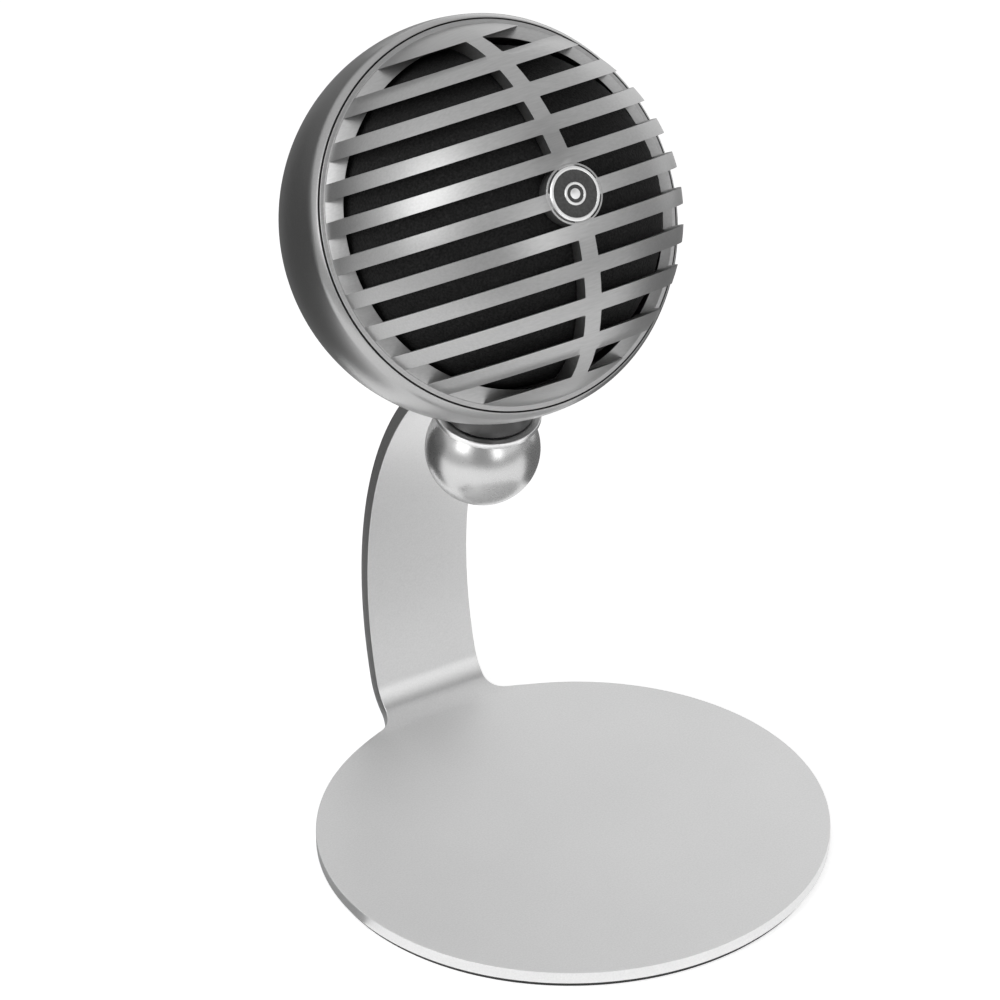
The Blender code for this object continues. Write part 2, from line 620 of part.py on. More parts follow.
# Grille dome, cut straight through by the slots except at its collar ring and medallion pad

flange_r = SEAT_R - GAP
skirt_front = LIP_FRONT + SKIRT_RISE
dome_turn = asin(skirt_front / DOME_R)
dome = [(flange_r, GRILLE_BACK), (flange_r, skirt_front)]
dome += arc((0.0, 0.0), DOME_R, dome_turn, pi / 2, 12)
ring_in = DOME_R - COLLAR_RING_W
ring_front = skirt_front + COLLAR_RING_RISE
bar_low = ring_front + COLLAR_RING_STEP
dome += arc((0.0, 0.0), DOME_IN, pi / 2, asin(bar_low / DOME_IN), 6)
dome += [(ring_in, bar_low), (ring_in, GRILLE_BACK)]
front_grille = lathe("front_grille", dome, HEAD, BAR_METAL, HEAD_SEGMENTS)

slot_top = DOME_R + 2 * OVERCUT
bm = bmesh.new()
for i in range(SLOT_PAIRS):
    for up in (-1, 1):
        middle = up * SLOT_PITCH * (i + 0.5)
        low = middle - SLOT_HEIGHT / 2
        high = middle + SLOT_HEIGHT / 2
        for side in (-1, 1):
            edge = sqrt(max(DOME_R ** 2 - SLOT_START ** 2 - middle ** 2, (SPINE_W * 2) ** 2))
            near = side * SPINE_W / 2
            far = side * (edge + OVERCUT)
            outline = [(near, low), (far, low), (far, high), (near, high)]
            pushed(bm, outline[::side], SLOT_START, slot_top)
slot_tool = add_piece("cut_slots", bm, HEAD, None, False)

ring_far = DOME_R + OVERCUT
ring_low = ring_front - (ring_far - ring_in) * tan(COLLAR_RING_SLOPE)
ring_top_r = ring_in - COLLAR_RING_STEP
ring_top = ring_front + COLLAR_RING_STEP * tan(COLLAR_RING_SLOPE)
kept = [(0.0, ring_low), (ring_far, ring_low), (ring_top_r, ring_top), (0.0, ring_top)]
bm = bmesh.new()
turned(bm, kept, HEAD_SEGMENTS)
turned(bm, rod(MEDAL_PAD_R, ring_top + OVERCUT, slot_top + OVERCUT), SMALL_SEGMENTS)
shape_with(slot_tool, add_piece("keep_ring_and_pad", bm, HEAD, None))
shape_with(front_grille, slot_tool)
medal_bed = rod(MEDAL_R + GAP, MEDAL_FLOOR, slot_top)
shape_with(front_grille, lathe("cut_medal_bed", medal_bed, HEAD, None, SMALL_SEGMENTS))

band_out = MEDAL_R - MEDAL_CHAMFER
band_in = band_out - MEDAL_BAND
medal = [(0.0, MEDAL_FLOOR + GAP), (MEDAL_R, MEDAL_FLOOR + GAP), (MEDAL_R, DOME_R - MEDAL_CHAMFER)]
medal += [(band_out, DOME_R), (band_in, DOME_R), (band_in - MEDAL_DISH, DOME_R - MEDAL_DISH)]
medal += [(0.0, DOME_R - MEDAL_DISH)]
lathe("badge", medal, HEAD, CHROME, MID_SEGMENTS)


# Behind the grille: foam, gasket, baffle and capsule

foam_r = DOME_IN - GAP
foam_low = GASKET_BACK
foam_in = foam_r - FOAM_T
foam = arc((0.0, 0.0), foam_r, asin(foam_low / foam_r), pi / 2, 6)
foam += arc((0.0, 0.0), foam_in, pi / 2, asin(foam_low / foam_in), 4)
lathe("foam_liner", foam, HEAD, FOAM, MID_SEGMENTS)
gasket = tube(flange_r - GASKET_W, flange_r, GASKET_BACK, GASKET_BACK + GASKET_T)
lathe("grille_gasket", gasket, HEAD, RUBBER, MID_SEGMENTS)
baffle = tube(LEAD_R + GAP, SEAT_R - GAP, BAFFLE_BACK, BAFFLE_FRONT)
lathe("baffle_plate", baffle, HEAD, PLASTIC, MID_SEGMENTS)

mount_back = BAFFLE_FRONT + GAP
mount_front = mount_back + MOUNT_HEIGHT
bed = mount_front - CAPSULE_SUNK
mount = [(LEAD_R + GAP, mount_back), (MOUNT_R, mount_back), (MOUNT_R - MOUNT_TAPER, mount_front)]
mount += [(CAPSULE_R + GAP, mount_front), (CAPSULE_R + GAP, bed), (LEAD_R + GAP, bed)]
lathe("capsule_mount", mount, HEAD, RUBBER, 20)
can_front = bed + GAP + CAPSULE_T
can = [(0.0, bed + GAP), (CAPSULE_R, bed + GAP), (CAPSULE_R, can_front - CAPSULE_CHAMFER)]
can += [(CAPSULE_R - CAPSULE_CHAMFER, can_front), (0.0, can_front)]
lathe("capsule", can, HEAD, BRASS, 20)
lathe("capsule_lead", rod(LEAD_R, BOARD_FRONT + GAP, bed), HEAD, PLASTIC, 10)


# Rear cover with the board's pillars, then the board and what stands on it

rear_cover = lathe("rear_cover", rod(COVER_R, COVER_OUT, COVER_IN), HEAD, DARK_METAL, 40)
board_screw_turns = [radians(a) for a in (38, 142, 270)]
board_spots = [(PILLAR_SCREW_R * cos(a), PILLAR_SCREW_R * sin(a)) for a in board_screw_turns]
cover_spots = [(COVER_SCREW_RING * cos(a), COVER_SCREW_RING * sin(a)) for a in cover_screw_turns]
bm = bmesh.new()
for spot in board_spots:
    pushed(bm, ring(BOARD_PILLAR_R, 12, spot), COVER_IN - 2 * GAP, BOARD_BACK - GAP)
shape_with(rear_cover, add_piece("add_board_pillars", bm, HEAD, None), "UNION")

usb_spot = (SOCKET_SIDE, SOCKET_UP)
jack_spot = (-SOCKET_SIDE, SOCKET_UP)
guide_spots = [(GUIDE_PITCH * i, GUIDE_UP) for i in (-1, 0, 1)]
through_low = COVER_OUT - OVERCUT
through_high = COVER_IN + OVERCUT
bore_low = BOARD_BACK - BOARD_SCREW_DEPTH - 2 * GAP
bm = bmesh.new()
pushed(bm, pill(MODE_HALF_W + GAP, MODE_R + GAP, (0.0, MODE_UP)), through_low, through_high)
pushed(bm, ring(MUTE_R + GAP, SMALL_SEGMENTS, (0.0, MUTE_UP)), through_low, through_high)
pushed(bm, rectangle(USB_W / 2 + GAP, USB_H / 2 + GAP, usb_spot), through_low, through_high)
pushed(bm, ring(JACK_R + GAP, SMALL_SEGMENTS, jack_spot), through_low, through_high)
for spot in guide_spots:
    pushed(bm, ring(GUIDE_R + GAP, 12, spot), through_low, through_high)
for spot in cover_spots:
    pushed(bm, ring(SCREW_CLEAR_R, 8, spot), through_low, through_high)
for spot in board_spots:
    pushed(bm, ring(SCREW_CLEAR_R, 8, spot), bore_low, BOARD_BACK + OVERCUT)
shape_with(rear_cover, add_piece("cut_cover_holes", bm, HEAD, None))

main_board = lathe("main_board", rod(BOARD_R, BOARD_BACK, BOARD_FRONT), HEAD, BOARD, 28)
bm = bmesh.new()
for spot in board_spots:
    pushed(bm, ring(SCREW_CLEAR_R, 8, spot), BOARD_BACK - OVERCUT, BOARD_FRONT + OVERCUT)
shape_with(main_board, add_piece("cut_board_holes", bm, HEAD, None))


def screw(name, spot, seat, head_end, tip):
    # The stem runs from its tip to the seat, and the head from just past the seat to its own end
    bm = bmesh.new()
    head = ring(SCREW_HEAD_R, 10, spot)
    stem = ring(SCREW_STEM_R, 10, spot)
    shoulder = seat + (SCREW_SHOULDER if head_end > seat else -SCREW_SHOULDER)
    stacked(bm, [(stem, tip), (stem, seat), (head, shoulder), (head, head_end)])
    return add_piece(name, bm, HEAD, STEEL)


for i, spot in enumerate(cover_spots, 1):
    seat = COVER_OUT - GAP
    screw(f"cover_screw_{i}", spot, seat, seat - COVER_SCREW_HEAD_T - SCREW_SHOULDER, REAR_INSIDE - GAP)
for i, spot in enumerate(board_spots, 1):
    seat = BOARD_FRONT + GAP
    head_end = seat + BOARD_SCREW_HEAD_T + SCREW_SHOULDER
    screw(f"board_screw_{i}", spot, seat, head_end, BOARD_BACK - BOARD_SCREW_DEPTH)

# Micro-USB inlet and headphone jack, both standing on the board and facing the rear
socket_front = BOARD_BACK - GAP
usb = rectangle(USB_W / 2, USB_H / 2, usb_spot)
usb_socket = prism("usb_socket", usb, COVER_OUT + USB_SINK, socket_front, HEAD, STEEL, False)
usb_mouth = rectangle(USB_W / 2 - USB_WALL, USB_H / 2 - USB_WALL, usb_spot)
usb_cut = prism("cut_usb_mouth", usb_mouth, through_low, COVER_OUT + USB_DEPTH, HEAD, None, False)
shape_with(usb_socket, usb_cut)
jack_step = COVER_IN + GAP + JACK_STEP_GAP
jack_half = JACK_BLOCK / 2
block = rectangle(jack_half, jack_half, jack_spot)
headphone_socket = prism("headphone_socket", block, jack_step, socket_front, HEAD, PLASTIC, False)
nose_ring = ring(JACK_R, SMALL_SEGMENTS, jack_spot)
nose = prism("add_jack_nose", nose_ring, COVER_OUT, jack_step + OVERCUT, HEAD, None)
shape_with(headphone_socket, nose, "UNION")
bore = ring(JACK_BORE_R, 16, jack_spot)
bore_cut = prism("cut_jack_bore", bore, through_low, socket_front - JACK_STEP_GAP, HEAD, None)
shape_with(headphone_socket, bore_cut)

# Mode lights: lamps on the board and guides through the cover
for i, spot in enumerate(guide_spots, 1):
    lamp_back = socket_front - LAMP_T
    lamp = rectangle(LAMP_W / 2, LAMP_H / 2, spot)
    prism(f"status_led_{i}", lamp, lamp_back, socket_front, HEAD, CLEAR, False)
    guide = ring(GUIDE_R, 12, spot)
    prism(f"light_guide_{i}", guide, COVER_OUT, lamp_back - GAP, HEAD, CLEAR)

# Buttons with the flange that keeps them behind the cover, and their switches on the board
button_out = -REAR_DEPTH - BUTTON_PROUD
flange_low = COVER_IN + GAP
flange_high = flange_low + BUTTON_FLANGE
press_end = flange_high + BUTTON_TRAVEL


def button(name, parent, shape):
    bm = bmesh.new()
    levels = [(shape(-BUTTON_SOFT), button_out), (shape(0.0), button_out + BUTTON_SOFT)]
    levels += [(shape(0.0), flange_low), (shape(BUTTON_FLANGE_W), flange_low + FLANGE_RAMP)]
    levels += [(shape(BUTTON_FLANGE_W), flange_high)]
    stacked(bm, levels)
    return add_piece(name, bm, parent, PLASTIC)


button("mode_button", MODE, lambda more: pill(MODE_HALF_W + more, MODE_R + more))
button("mute_button", MUTE, lambda more: ring(MUTE_R + more))
for name, up in (("mode_switch", MODE_UP), ("mute_switch", MUTE_UP)):
    body = rectangle(SWITCH_W / 2, SWITCH_W / 2, (0.0, up))
    prism(name, body, press_end + SWITCH_GAP, socket_front, HEAD, PLASTIC, False)
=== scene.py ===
# %% [markdown]
# # A desktop microphone with a slotted dome grille
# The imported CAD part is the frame: it says where every piece is and how it moves.
# This script gives the part its looks. Fine meshes stand for the coarse solids that show,
# every surface gets a procedural finish, and a small studio lights it as in the photograph.

# %% Load the frame
import json
from math import acos, asin, atan2, cos, pi, radians, sin, sqrt, tan

import bmesh
import bpy
from mathutils import Matrix, Vector, noise


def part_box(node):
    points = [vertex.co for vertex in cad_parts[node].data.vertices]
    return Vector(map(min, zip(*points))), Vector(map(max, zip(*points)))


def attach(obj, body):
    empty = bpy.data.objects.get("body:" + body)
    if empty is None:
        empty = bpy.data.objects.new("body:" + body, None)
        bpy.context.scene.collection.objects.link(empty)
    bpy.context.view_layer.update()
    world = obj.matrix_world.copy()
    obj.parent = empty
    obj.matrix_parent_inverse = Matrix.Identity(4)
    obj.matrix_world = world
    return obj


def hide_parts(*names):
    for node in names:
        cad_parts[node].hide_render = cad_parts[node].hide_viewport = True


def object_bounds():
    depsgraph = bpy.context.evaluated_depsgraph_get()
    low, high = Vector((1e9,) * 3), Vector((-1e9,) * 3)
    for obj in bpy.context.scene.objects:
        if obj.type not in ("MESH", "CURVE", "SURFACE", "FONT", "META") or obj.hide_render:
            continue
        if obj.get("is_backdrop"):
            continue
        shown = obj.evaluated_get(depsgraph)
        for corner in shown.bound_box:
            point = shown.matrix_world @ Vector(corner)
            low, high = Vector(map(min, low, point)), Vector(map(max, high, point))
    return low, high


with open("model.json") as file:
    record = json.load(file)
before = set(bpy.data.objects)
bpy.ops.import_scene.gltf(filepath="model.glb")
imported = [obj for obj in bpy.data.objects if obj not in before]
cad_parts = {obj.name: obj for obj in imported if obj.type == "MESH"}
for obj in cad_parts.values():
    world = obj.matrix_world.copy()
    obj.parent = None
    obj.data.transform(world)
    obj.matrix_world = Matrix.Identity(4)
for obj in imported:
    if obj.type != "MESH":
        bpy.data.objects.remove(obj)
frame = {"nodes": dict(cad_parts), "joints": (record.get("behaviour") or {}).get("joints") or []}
cad_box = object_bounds()
MM = 0.001


def in_mm(values):
    return [round(x / MM, 2) for x in values]


print("CAD box in mm:", [in_mm(corner) for corner in cad_box])

# %% [markdown]
# ## Places
# The stand is upright, but the head, the neck and the thumb screw each lie along an axis of their own.
# Their pieces could be modelled where they are, with tilted coordinates in every line.
# It is easier to model each one upright in its own place, so a place is a matrix whose Z is that axis.
# The axes come from the joints in the record, and the head's centre from its round baffle plate.

# %% Places of the stand, screw, neck and head
joints = {joint["name"]: joint for joint in frame["joints"]}
across = Vector((1.0, 0.0, 0.0))
ball_centre = Vector(joints["head_tilt"]["pos_m"])
head_front = Vector(joints["mode_button_press"]["axis"])
screw_axis = Vector(joints["thumb_screw_turn"]["axis"])
NECK_SLANT = radians(45.0)
BAFFLE_MIDDLE = -1.8 * MM


def place_of(centre, side, up):
    turn = Matrix((side, up.cross(side), up)).transposed()
    return Matrix.Translation(centre) @ turn.to_4x4()


def place_along(centre, axis):
    return place_of(centre, across, axis.normalized())


def middle(node):
    low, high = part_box(node)
    return (low + high) / 2


head_centre = middle("baffle_plate") - head_front * BAFFLE_MIDDLE
head_up = head_front.cross(across)
STAND_PLACE = Matrix.Identity(4)
BALL_PLACE = Matrix.Translation(ball_centre)
SCREW_PLACE = place_along(ball_centre, screw_axis)
NECK_PLACE = place_along(ball_centre, head_front * cos(NECK_SLANT) + head_up * sin(NECK_SLANT))
HEAD_PLACE = place_along(head_centre, head_front)
print("ball centre in mm:", in_mm(ball_centre))
print("head centre in mm:", in_mm(head_centre))

# %% [markdown]
# ## Shader maths as Python
# A finish is a small graph of nodes. Adding each node and link by hand hides the idea behind it,
# so one class wraps an output socket and lets numbers be added and multiplied as in any expression.
# A second class owns the material. Its method called node adds any other node, and the rest are short cuts.

# %% Wires and finishes
class Wire:
    def __init__(self, finish, socket):
        self.finish = finish
        self.socket = socket

    def math(self, operation, first, second):
        return self.finish.node("ShaderNodeMath", {"operation": operation}, {0: first, 1: second})

    def __add__(self, other):
        return self.math("ADD", self, other)

    def __radd__(self, other):
        return self.math("ADD", other, self)

    def __sub__(self, other):
        return self.math("SUBTRACT", self, other)

    def __rsub__(self, other):
        return self.math("SUBTRACT", other, self)

    def __mul__(self, other):
        return self.math("MULTIPLY", self, other)

    def __rmul__(self, other):
        return self.math("MULTIPLY", other, self)


class Finish:
    def __init__(self, name):
        self.material = bpy.data.materials.new(name)
        self.material.use_nodes = True
        self.tree = self.material.node_tree
        self.shader = self.tree.nodes["Principled BSDF"]

    def feed(self, node, sockets):
        for key, value in sockets.items():
            if isinstance(value, Wire):
                self.tree.links.new(value.socket, node.inputs[key])
            else:
                node.inputs[key].default_value = value

    def node(self, kind, settings, sockets, out=0):
        made = self.tree.nodes.new(kind)
        for key, value in settings.items():
            if key == "stops":
                for stop, (position, tone) in zip(made.color_ramp.elements, value):
                    stop.position = position
                    stop.color = (tone, tone, tone, 1.0)
            else:
                setattr(made, key, value)
        self.feed(made, sockets)
        return Wire(self, made.outputs[out])

    def noise(self, scale, detail=2.0, stretch=(1.0, 1.0, 1.0)):
        place = self.node("ShaderNodeTexCoord", {}, {}, "Object")
        place = self.node("ShaderNodeVectorMath", {"operation": "MULTIPLY"}, {0: place, 1: stretch})
        return self.node("ShaderNodeTexNoise", {}, {"Vector": place, "Scale": scale, "Detail": detail})

    def contrast(self, value, low, high):
        return self.node("ShaderNodeValToRGB", {"stops": ((low, 0.0), (high, 1.0))}, {"Fac": value})

    def blend(self, share, first, second):
        settings = {"data_type": "RGBA"}
        return self.node("ShaderNodeMix", settings, {0: share, 6: (*first, 1.0), 7: (*second, 1.0)}, 2)

    def bump(self, height, distance):
        return self.node("ShaderNodeBump", {}, {"Height": height, "Distance": distance})

    def surface(self, **sockets):
        named = {key.replace("_", " "): value for key, value in sockets.items()}
        self.feed(self.shader, named)
        return self.material


def grey(tone):
    return (tone, tone, tone)


# %% [markdown]
# ## Metal finishes
# The stand is bead-blasted aluminium: even, fine-grained and soft in its reflections.
# The head has a darker coat of the same grain, and its bars have a faint brushing along their length.
# One function makes all of them, because they differ only in tone, roughness, grain and brushing.

# %% Metals
GRAIN = 3200.0
CLOUD = 38.0
FINE_SHARE = 0.7
FINE_ROUGH = 0.05
CLOUD_ROUGH = 0.03
MEAN_ROUGH = (FINE_ROUGH + CLOUD_ROUGH) / 2
BLASTED = 0.000012
POLISHED = 0.0000008
BRUSHED = (0.12, 1.0, 1.0)


def metal(name, tone, roughness, spread=0.05, grain=BLASTED, stretch=(1.0, 1.0, 1.0)):
    finish = Finish(name)
    fine = finish.noise(GRAIN, 3.0, stretch)
    cloud = finish.noise(CLOUD, 4.0)
    shade = finish.contrast(fine * FINE_SHARE + cloud * (1.0 - FINE_SHARE), 0.3, 0.7)
    dark = grey(tone * (1.0 - spread))
    light = grey(tone * (1.0 + spread))
    rough = roughness(finish) if callable(roughness) else roughness
    return finish.surface(
        Base_Color=finish.blend(shade, dark, light),
        Metallic=1.0,
        Roughness=rough - MEAN_ROUGH + fine * FINE_ROUGH + cloud * CLOUD_ROUGH,
        Normal=finish.bump(fine, grain),
    )


KNOB_METAL = metal("knob_aluminium", 0.8, 0.36)
SHELL_METAL = metal("dark_satin_shell", 0.43, 0.3, spread=0.06)
BAR_METAL = metal("brushed_bar_silver", 0.44, 0.42, spread=0.09, stretch=BRUSHED)
# The neck boss's very low tone is partly its own dark finish and partly painted shade, for the shade under
# the head.
NECK_METAL_PAINTED_SHADE = metal("dark_neck_painted_shade", 0.1, 0.32, spread=0.06)
BALL_METAL = metal("polished_ball", 0.6, 0.28, spread=0.02, grain=POLISHED)
COLLAR_METAL = metal("bright_collar", 0.86, 0.3, spread=0.02, grain=POLISHED)
STEEL = metal("plain_steel_wire", 0.45, 0.38, spread=0.08)
BRASS = metal("capsule_brass", 0.5, 0.35, spread=0.08)
print("metal finishes made")

# %% [markdown]
# In the photograph the base plate is evenly matt, while the bend of the arm still mirrors a little.
# Two materials would show a seam, so the height over the floor blends one roughness into the other.

# %% Stand finish
PER_CM = 100.0
BASE_ROUGH = 0.6
ARM_ROUGH = 0.34
BLEND_FROM = 0.34
BLEND_TO = 0.5


def stand_roughness(finish):
    place = finish.node("ShaderNodeTexCoord", {}, {}, "Object")
    height = finish.node("ShaderNodeSeparateXYZ", {}, {0: place}, "Z")
    bent = finish.contrast(height * PER_CM, BLEND_FROM, BLEND_TO)
    return BASE_ROUGH + bent * (ARM_ROUGH - BASE_ROUGH)


STAND_METAL = metal("blasted_aluminium", 0.8, stand_roughness)
print("stand finish made")

# %% [markdown]
# ## Dark finishes
# Rubber, moulded plastic, foam and the printed board are not metal, so their colour is what is seen.
# Foam is full of tiny open cells. Modelling each cell is hopeless, so a noise at the size of a cell
# sets both the height and the tone, and a few cells get a painted glint of brighter colour.

# %% Rubber, plastic, foam, board and clear guide
SPECK_SPREAD = 0.25
SPECK_ROUGH = 0.1


def dull(name, tone, roughness, scale, depth):
    finish = Finish(name)
    speck = finish.noise(scale, 3.0)
    dark = grey(tone * (1.0 - SPECK_SPREAD))
    light = grey(tone * (1.0 + SPECK_SPREAD))
    return finish.surface(
        Base_Color=finish.blend(finish.contrast(speck, 0.35, 0.65), dark, light),
        Roughness=roughness - SPECK_ROUGH / 2 + speck * SPECK_ROUGH,
        Normal=finish.bump(speck, depth),
    )


def open_foam():
    finish = Finish("open_cell_foam")
    cell = finish.noise(2400.0, 2.0)
    # painted glint: a few cells get a brighter colour that stands in for light catching them
    painted_glint = finish.contrast(finish.noise(900.0, 1.0), 0.70, 0.76)
    tone = finish.contrast(cell, 0.35, 0.75) * 0.8 + painted_glint * 0.5
    return finish.surface(
        Base_Color=finish.blend(tone, grey(0.006), grey(0.03)),
        Roughness=0.95,
        Normal=finish.bump(cell, 0.0003),
    )


def printed_board():
    finish = Finish("printed_board")
    track = finish.contrast(finish.noise(700.0, 0.0, (1.0, 0.2, 1.0)), 0.48, 0.52)
    return finish.surface(
        Base_Color=finish.blend(track, (0.012, 0.07, 0.03), (0.03, 0.13, 0.06)),
        Roughness=0.35 + track * 0.1,
        Normal=finish.bump(track, 0.00002),
    )


def clear_guide():
    finish = Finish("clear_guide_plastic")
    cloud = finish.noise(600.0, 2.0)
    return finish.surface(
        Base_Color=finish.blend(cloud, (0.55, 0.58, 0.56), (0.75, 0.78, 0.76)),
        Roughness=0.15 + cloud * 0.1,
        Transmission_Weight=0.5,
    )


RUBBER = dull("matt_rubber", 0.035, 0.75, 1800.0, 0.00004)
PLASTIC = dull("moulded_plastic", 0.028, 0.45, 2600.0, 0.00002)
ENAMEL = dull("dark_enamel", 0.05, 0.35, 2200.0, 0.00001)
FOAM = open_foam()
BOARD = printed_board()
CLEAR = clear_guide()
print("dark finishes made")

# %% [markdown]
# ## Mesh helpers
# Nearly every piece here is turned on a lathe, pushed out of a flat outline, or cut by another shape.
# Real edges are never razor sharp, so outlines have their corners softened before they are used:
# the thin bright lines along the edges in the photograph are those softened corners.

# %% Outlines
def spread_over(start, end, steps):
    return [start + (end - start) * i / steps for i in range(steps + 1)]


def arc(centre, radius, start, end, steps):
    turns = spread_over(start, end, steps)
    return [(centre[0] + radius * cos(a), centre[1] + radius * sin(a)) for a in turns]


def ring(radius, steps=48, at=(0.0, 0.0)):
    return arc(at, radius, 0.0, 2 * pi, steps)[:-1]


def pill(half_w, radius, at=(0.0, 0.0), steps=16):
    reach = half_w - radius
    right = arc((at[0] + reach, at[1]), radius, -pi / 2, pi / 2, steps)
    left = arc((at[0] - reach, at[1]), radius, pi / 2, 3 * pi / 2, steps)
    return right + left


def box_outline(half_w, half_h, at=(0.0, 0.0)):
    corners = ((-1, -1), (1, -1), (1, 1), (-1, 1))
    return [(at[0] + sx * half_w, at[1] + sy * half_h) for sx, sy in corners]


def flat_sided(radius, rear, steps=72):
    half_gap = acos(min(rear / radius, 1.0))
    return arc((0.0, 0.0), radius, pi / 2 + half_gap, 5 * pi / 2 - half_gap, steps)


def rod(radius, low, high):
    return [(0.0, low), (radius, low), (radius, high), (0.0, high)]


SHARP_CORNER = radians(20.0)
EDGE_SHARE = 0.45
ON_AXIS = 1e-9


def softened(outline, radius, steps=3, on_lathe=False):
    soft = []
    for i, point in enumerate(outline):
        corner = Vector(point)
        before = Vector(outline[i - 1]) - corner
        after = Vector(outline[(i + 1) % len(outline)]) - corner
        bend = pi - before.angle(after)
        if bend < SHARP_CORNER or (on_lathe and corner.x < ON_AXIS):
            soft.append(corner)
            continue
        reach = min(radius, before.length * EDGE_SHARE, after.length * EDGE_SHARE)
        start = corner + before.normalized() * reach
        end = corner + after.normalized() * reach
        for k in range(steps + 1):
            t = k / steps
            soft.append(start * (1 - t) ** 2 + corner * (2 * t * (1 - t)) + end * t ** 2)
    return soft


# %% [markdown]
# A profile spun round an axis is a turned solid, and outlines joined level by level are a stacked one.
# A hole is made the same way: its solid is the cutter of a Boolean, and goes once the cut is done.

# %% Solids
MERGE = 1e-7


def turned(profile, segments=96):
    bm = bmesh.new()
    verts = [bm.verts.new((r, 0.0, h)) for r, h in profile]
    edges = []
    for vert, after in zip(verts, verts[1:] + verts[:1]):
        if vert.co.x > ON_AXIS or after.co.x > ON_AXIS:
            edges.append(bm.edges.new((vert, after)))
    bmesh.ops.spin(bm, geom=verts + edges, cent=(0, 0, 0), axis=(0, 0, 1),
                   angle=2 * pi, steps=segments, use_merge=True)
    loose = [v for v in bm.verts if not v.link_faces]
    bmesh.ops.delete(bm, geom=loose, context="VERTS")
    return bm


def soft_turned(profile, radius, segments=96):
    return turned(softened(profile, radius, on_lathe=True), segments)


def stacked(levels, bm=None):
    bm = bm or bmesh.new()
    loops = [[bm.verts.new((x, y, level)) for x, y in outline] for outline, level in levels]
    bm.faces.new(loops[0])
    bm.faces.new(loops[-1])
    for below, above in zip(loops, loops[1:]):
        for i in range(len(below)):
            j = (i + 1) % len(below)
            bm.faces.new((below[i], below[j], above[j], above[i]))
    return bm


def pushed(outline, low, high, bm=None):
    return stacked([(outline, low), (outline, high)], bm)


def soft_pushed(shape, low, high, edge, bm=None):
    # shape(inset) gives the outline pulled in by inset, so both ends get a rounded edge
    steps = 3
    turns = [pi / 2 * k / steps for k in range(steps + 1)]
    levels = [(shape(edge * (1 - sin(a))), low + edge * (1 - cos(a))) for a in turns]
    levels += [(shape(edge * (1 - cos(a))), high - edge * (1 - sin(a))) for a in turns]
    return stacked(levels, bm)


def tool(name, bm, place):
    bmesh.ops.recalc_face_normals(bm, faces=bm.faces[:])
    mesh = bpy.data.meshes.new(name)
    bm.to_mesh(mesh)
    bm.free()
    mesh.transform(place)
    made = bpy.data.objects.new(name, mesh)
    bpy.context.scene.collection.objects.link(made)
    return made


def settle(piece):
    bpy.context.view_layer.update()
    graph = bpy.context.evaluated_depsgraph_get()
    mesh = bpy.data.meshes.new_from_object(piece.evaluated_get(graph))
    piece.modifiers.clear()
    piece.data = mesh


def cut(piece, *tools):
    for cutter in tools:
        change = piece.modifiers.new(cutter.name, "BOOLEAN")
        change.operation = "DIFFERENCE"
        change.solver = "EXACT"
        change.object = cutter
    settle(piece)
    for cutter in tools:
        bpy.data.objects.remove(cutter, do_unlink=True)


CREASE = radians(32.0)


def smooth(piece):
    piece.data.shade_smooth()
    piece.data.set_sharp_from_angle(angle=CREASE)


def add(name, bm, place, finish, body, slot, *nodes):
    bmesh.ops.remove_doubles(bm, verts=bm.verts[:], dist=MERGE)
    made = tool(name, bm, place)
    made.data.materials.append(finish)
    smooth(made)
    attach(made, body)
    if nodes:
        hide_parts(*nodes)
    print(name, "has", len(made.data.polygons), "faces")
    return made


# %% [markdown]
# ## The stand
# The real stand is one aluminium plate, stamped as a disc with a tongue and bent up into an arm.
# It could be joined from a disc and a curved strip, but the seam would show in the reflections.
# So the flat blank is drawn as rows, each row with its own half width, and folded in code:
# first round the tight bend, then along the wide arc of the arm. A bevel gives it the bright edge line.

# %% Stand plate
GAP = 0.25 * MM
BASE_R = 44.5 * MM
PLATE_T = 2.2 * MM
PLATE_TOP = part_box("foot_pad")[1].z + GAP + PLATE_T
ARM_W = 20.4 * MM
ARM_R = 72.3 * MM
ARM_SETBACK = 6.3 * MM
ARM_ARC_HEIGHT = 24.2 * MM
BEND_R = 8.0 * MM
NECK_FILLET = 4.0 * MM
SCREW_ANGLE = atan2(screw_axis.z, screw_axis.y)
ARC_Y = BASE_R + ARM_SETBACK - ARM_R
ARC_Z = PLATE_TOP + ARM_ARC_HEIGHT
BEND_Y = ARC_Y + sqrt((ARM_R - BEND_R) ** 2 - (ARM_ARC_HEIGHT - BEND_R) ** 2)
ARC_START = atan2(BEND_R - ARM_ARC_HEIGHT, BEND_Y - ARC_Y)
ARC_LENGTH_START = BEND_Y + BEND_R * (pi / 2 + ARC_START)
HOLE_LENGTH = ARC_LENGTH_START + ARM_R * (SCREW_ANGLE - ARC_START)
PLATE_EDGE = 0.32 * MM
HALF_ARM = ARM_W / 2
FILLET_X = HALF_ARM + NECK_FILLET
FILLET_Y = sqrt((BASE_R + NECK_FILLET) ** 2 - FILLET_X ** 2)
TOUCH_Y = FILLET_Y * BASE_R / (BASE_R + NECK_FILLET)
TIP_TURN = radians(84.0)
LEAST_ROW = 0.1 * MM


def folded(x, length, depth):
    if length <= BEND_Y:
        return (x, length, PLATE_TOP - depth)
    if length <= ARC_LENGTH_START:
        turn = (length - BEND_Y) / BEND_R
        reach = BEND_R + depth
        return (x, BEND_Y + reach * sin(turn), PLATE_TOP + BEND_R - reach * cos(turn))
    turn = ARC_START + (length - ARC_LENGTH_START) / ARM_R
    reach = ARM_R + depth
    return (x, ARC_Y + reach * cos(turn), ARC_Z + reach * sin(turn))


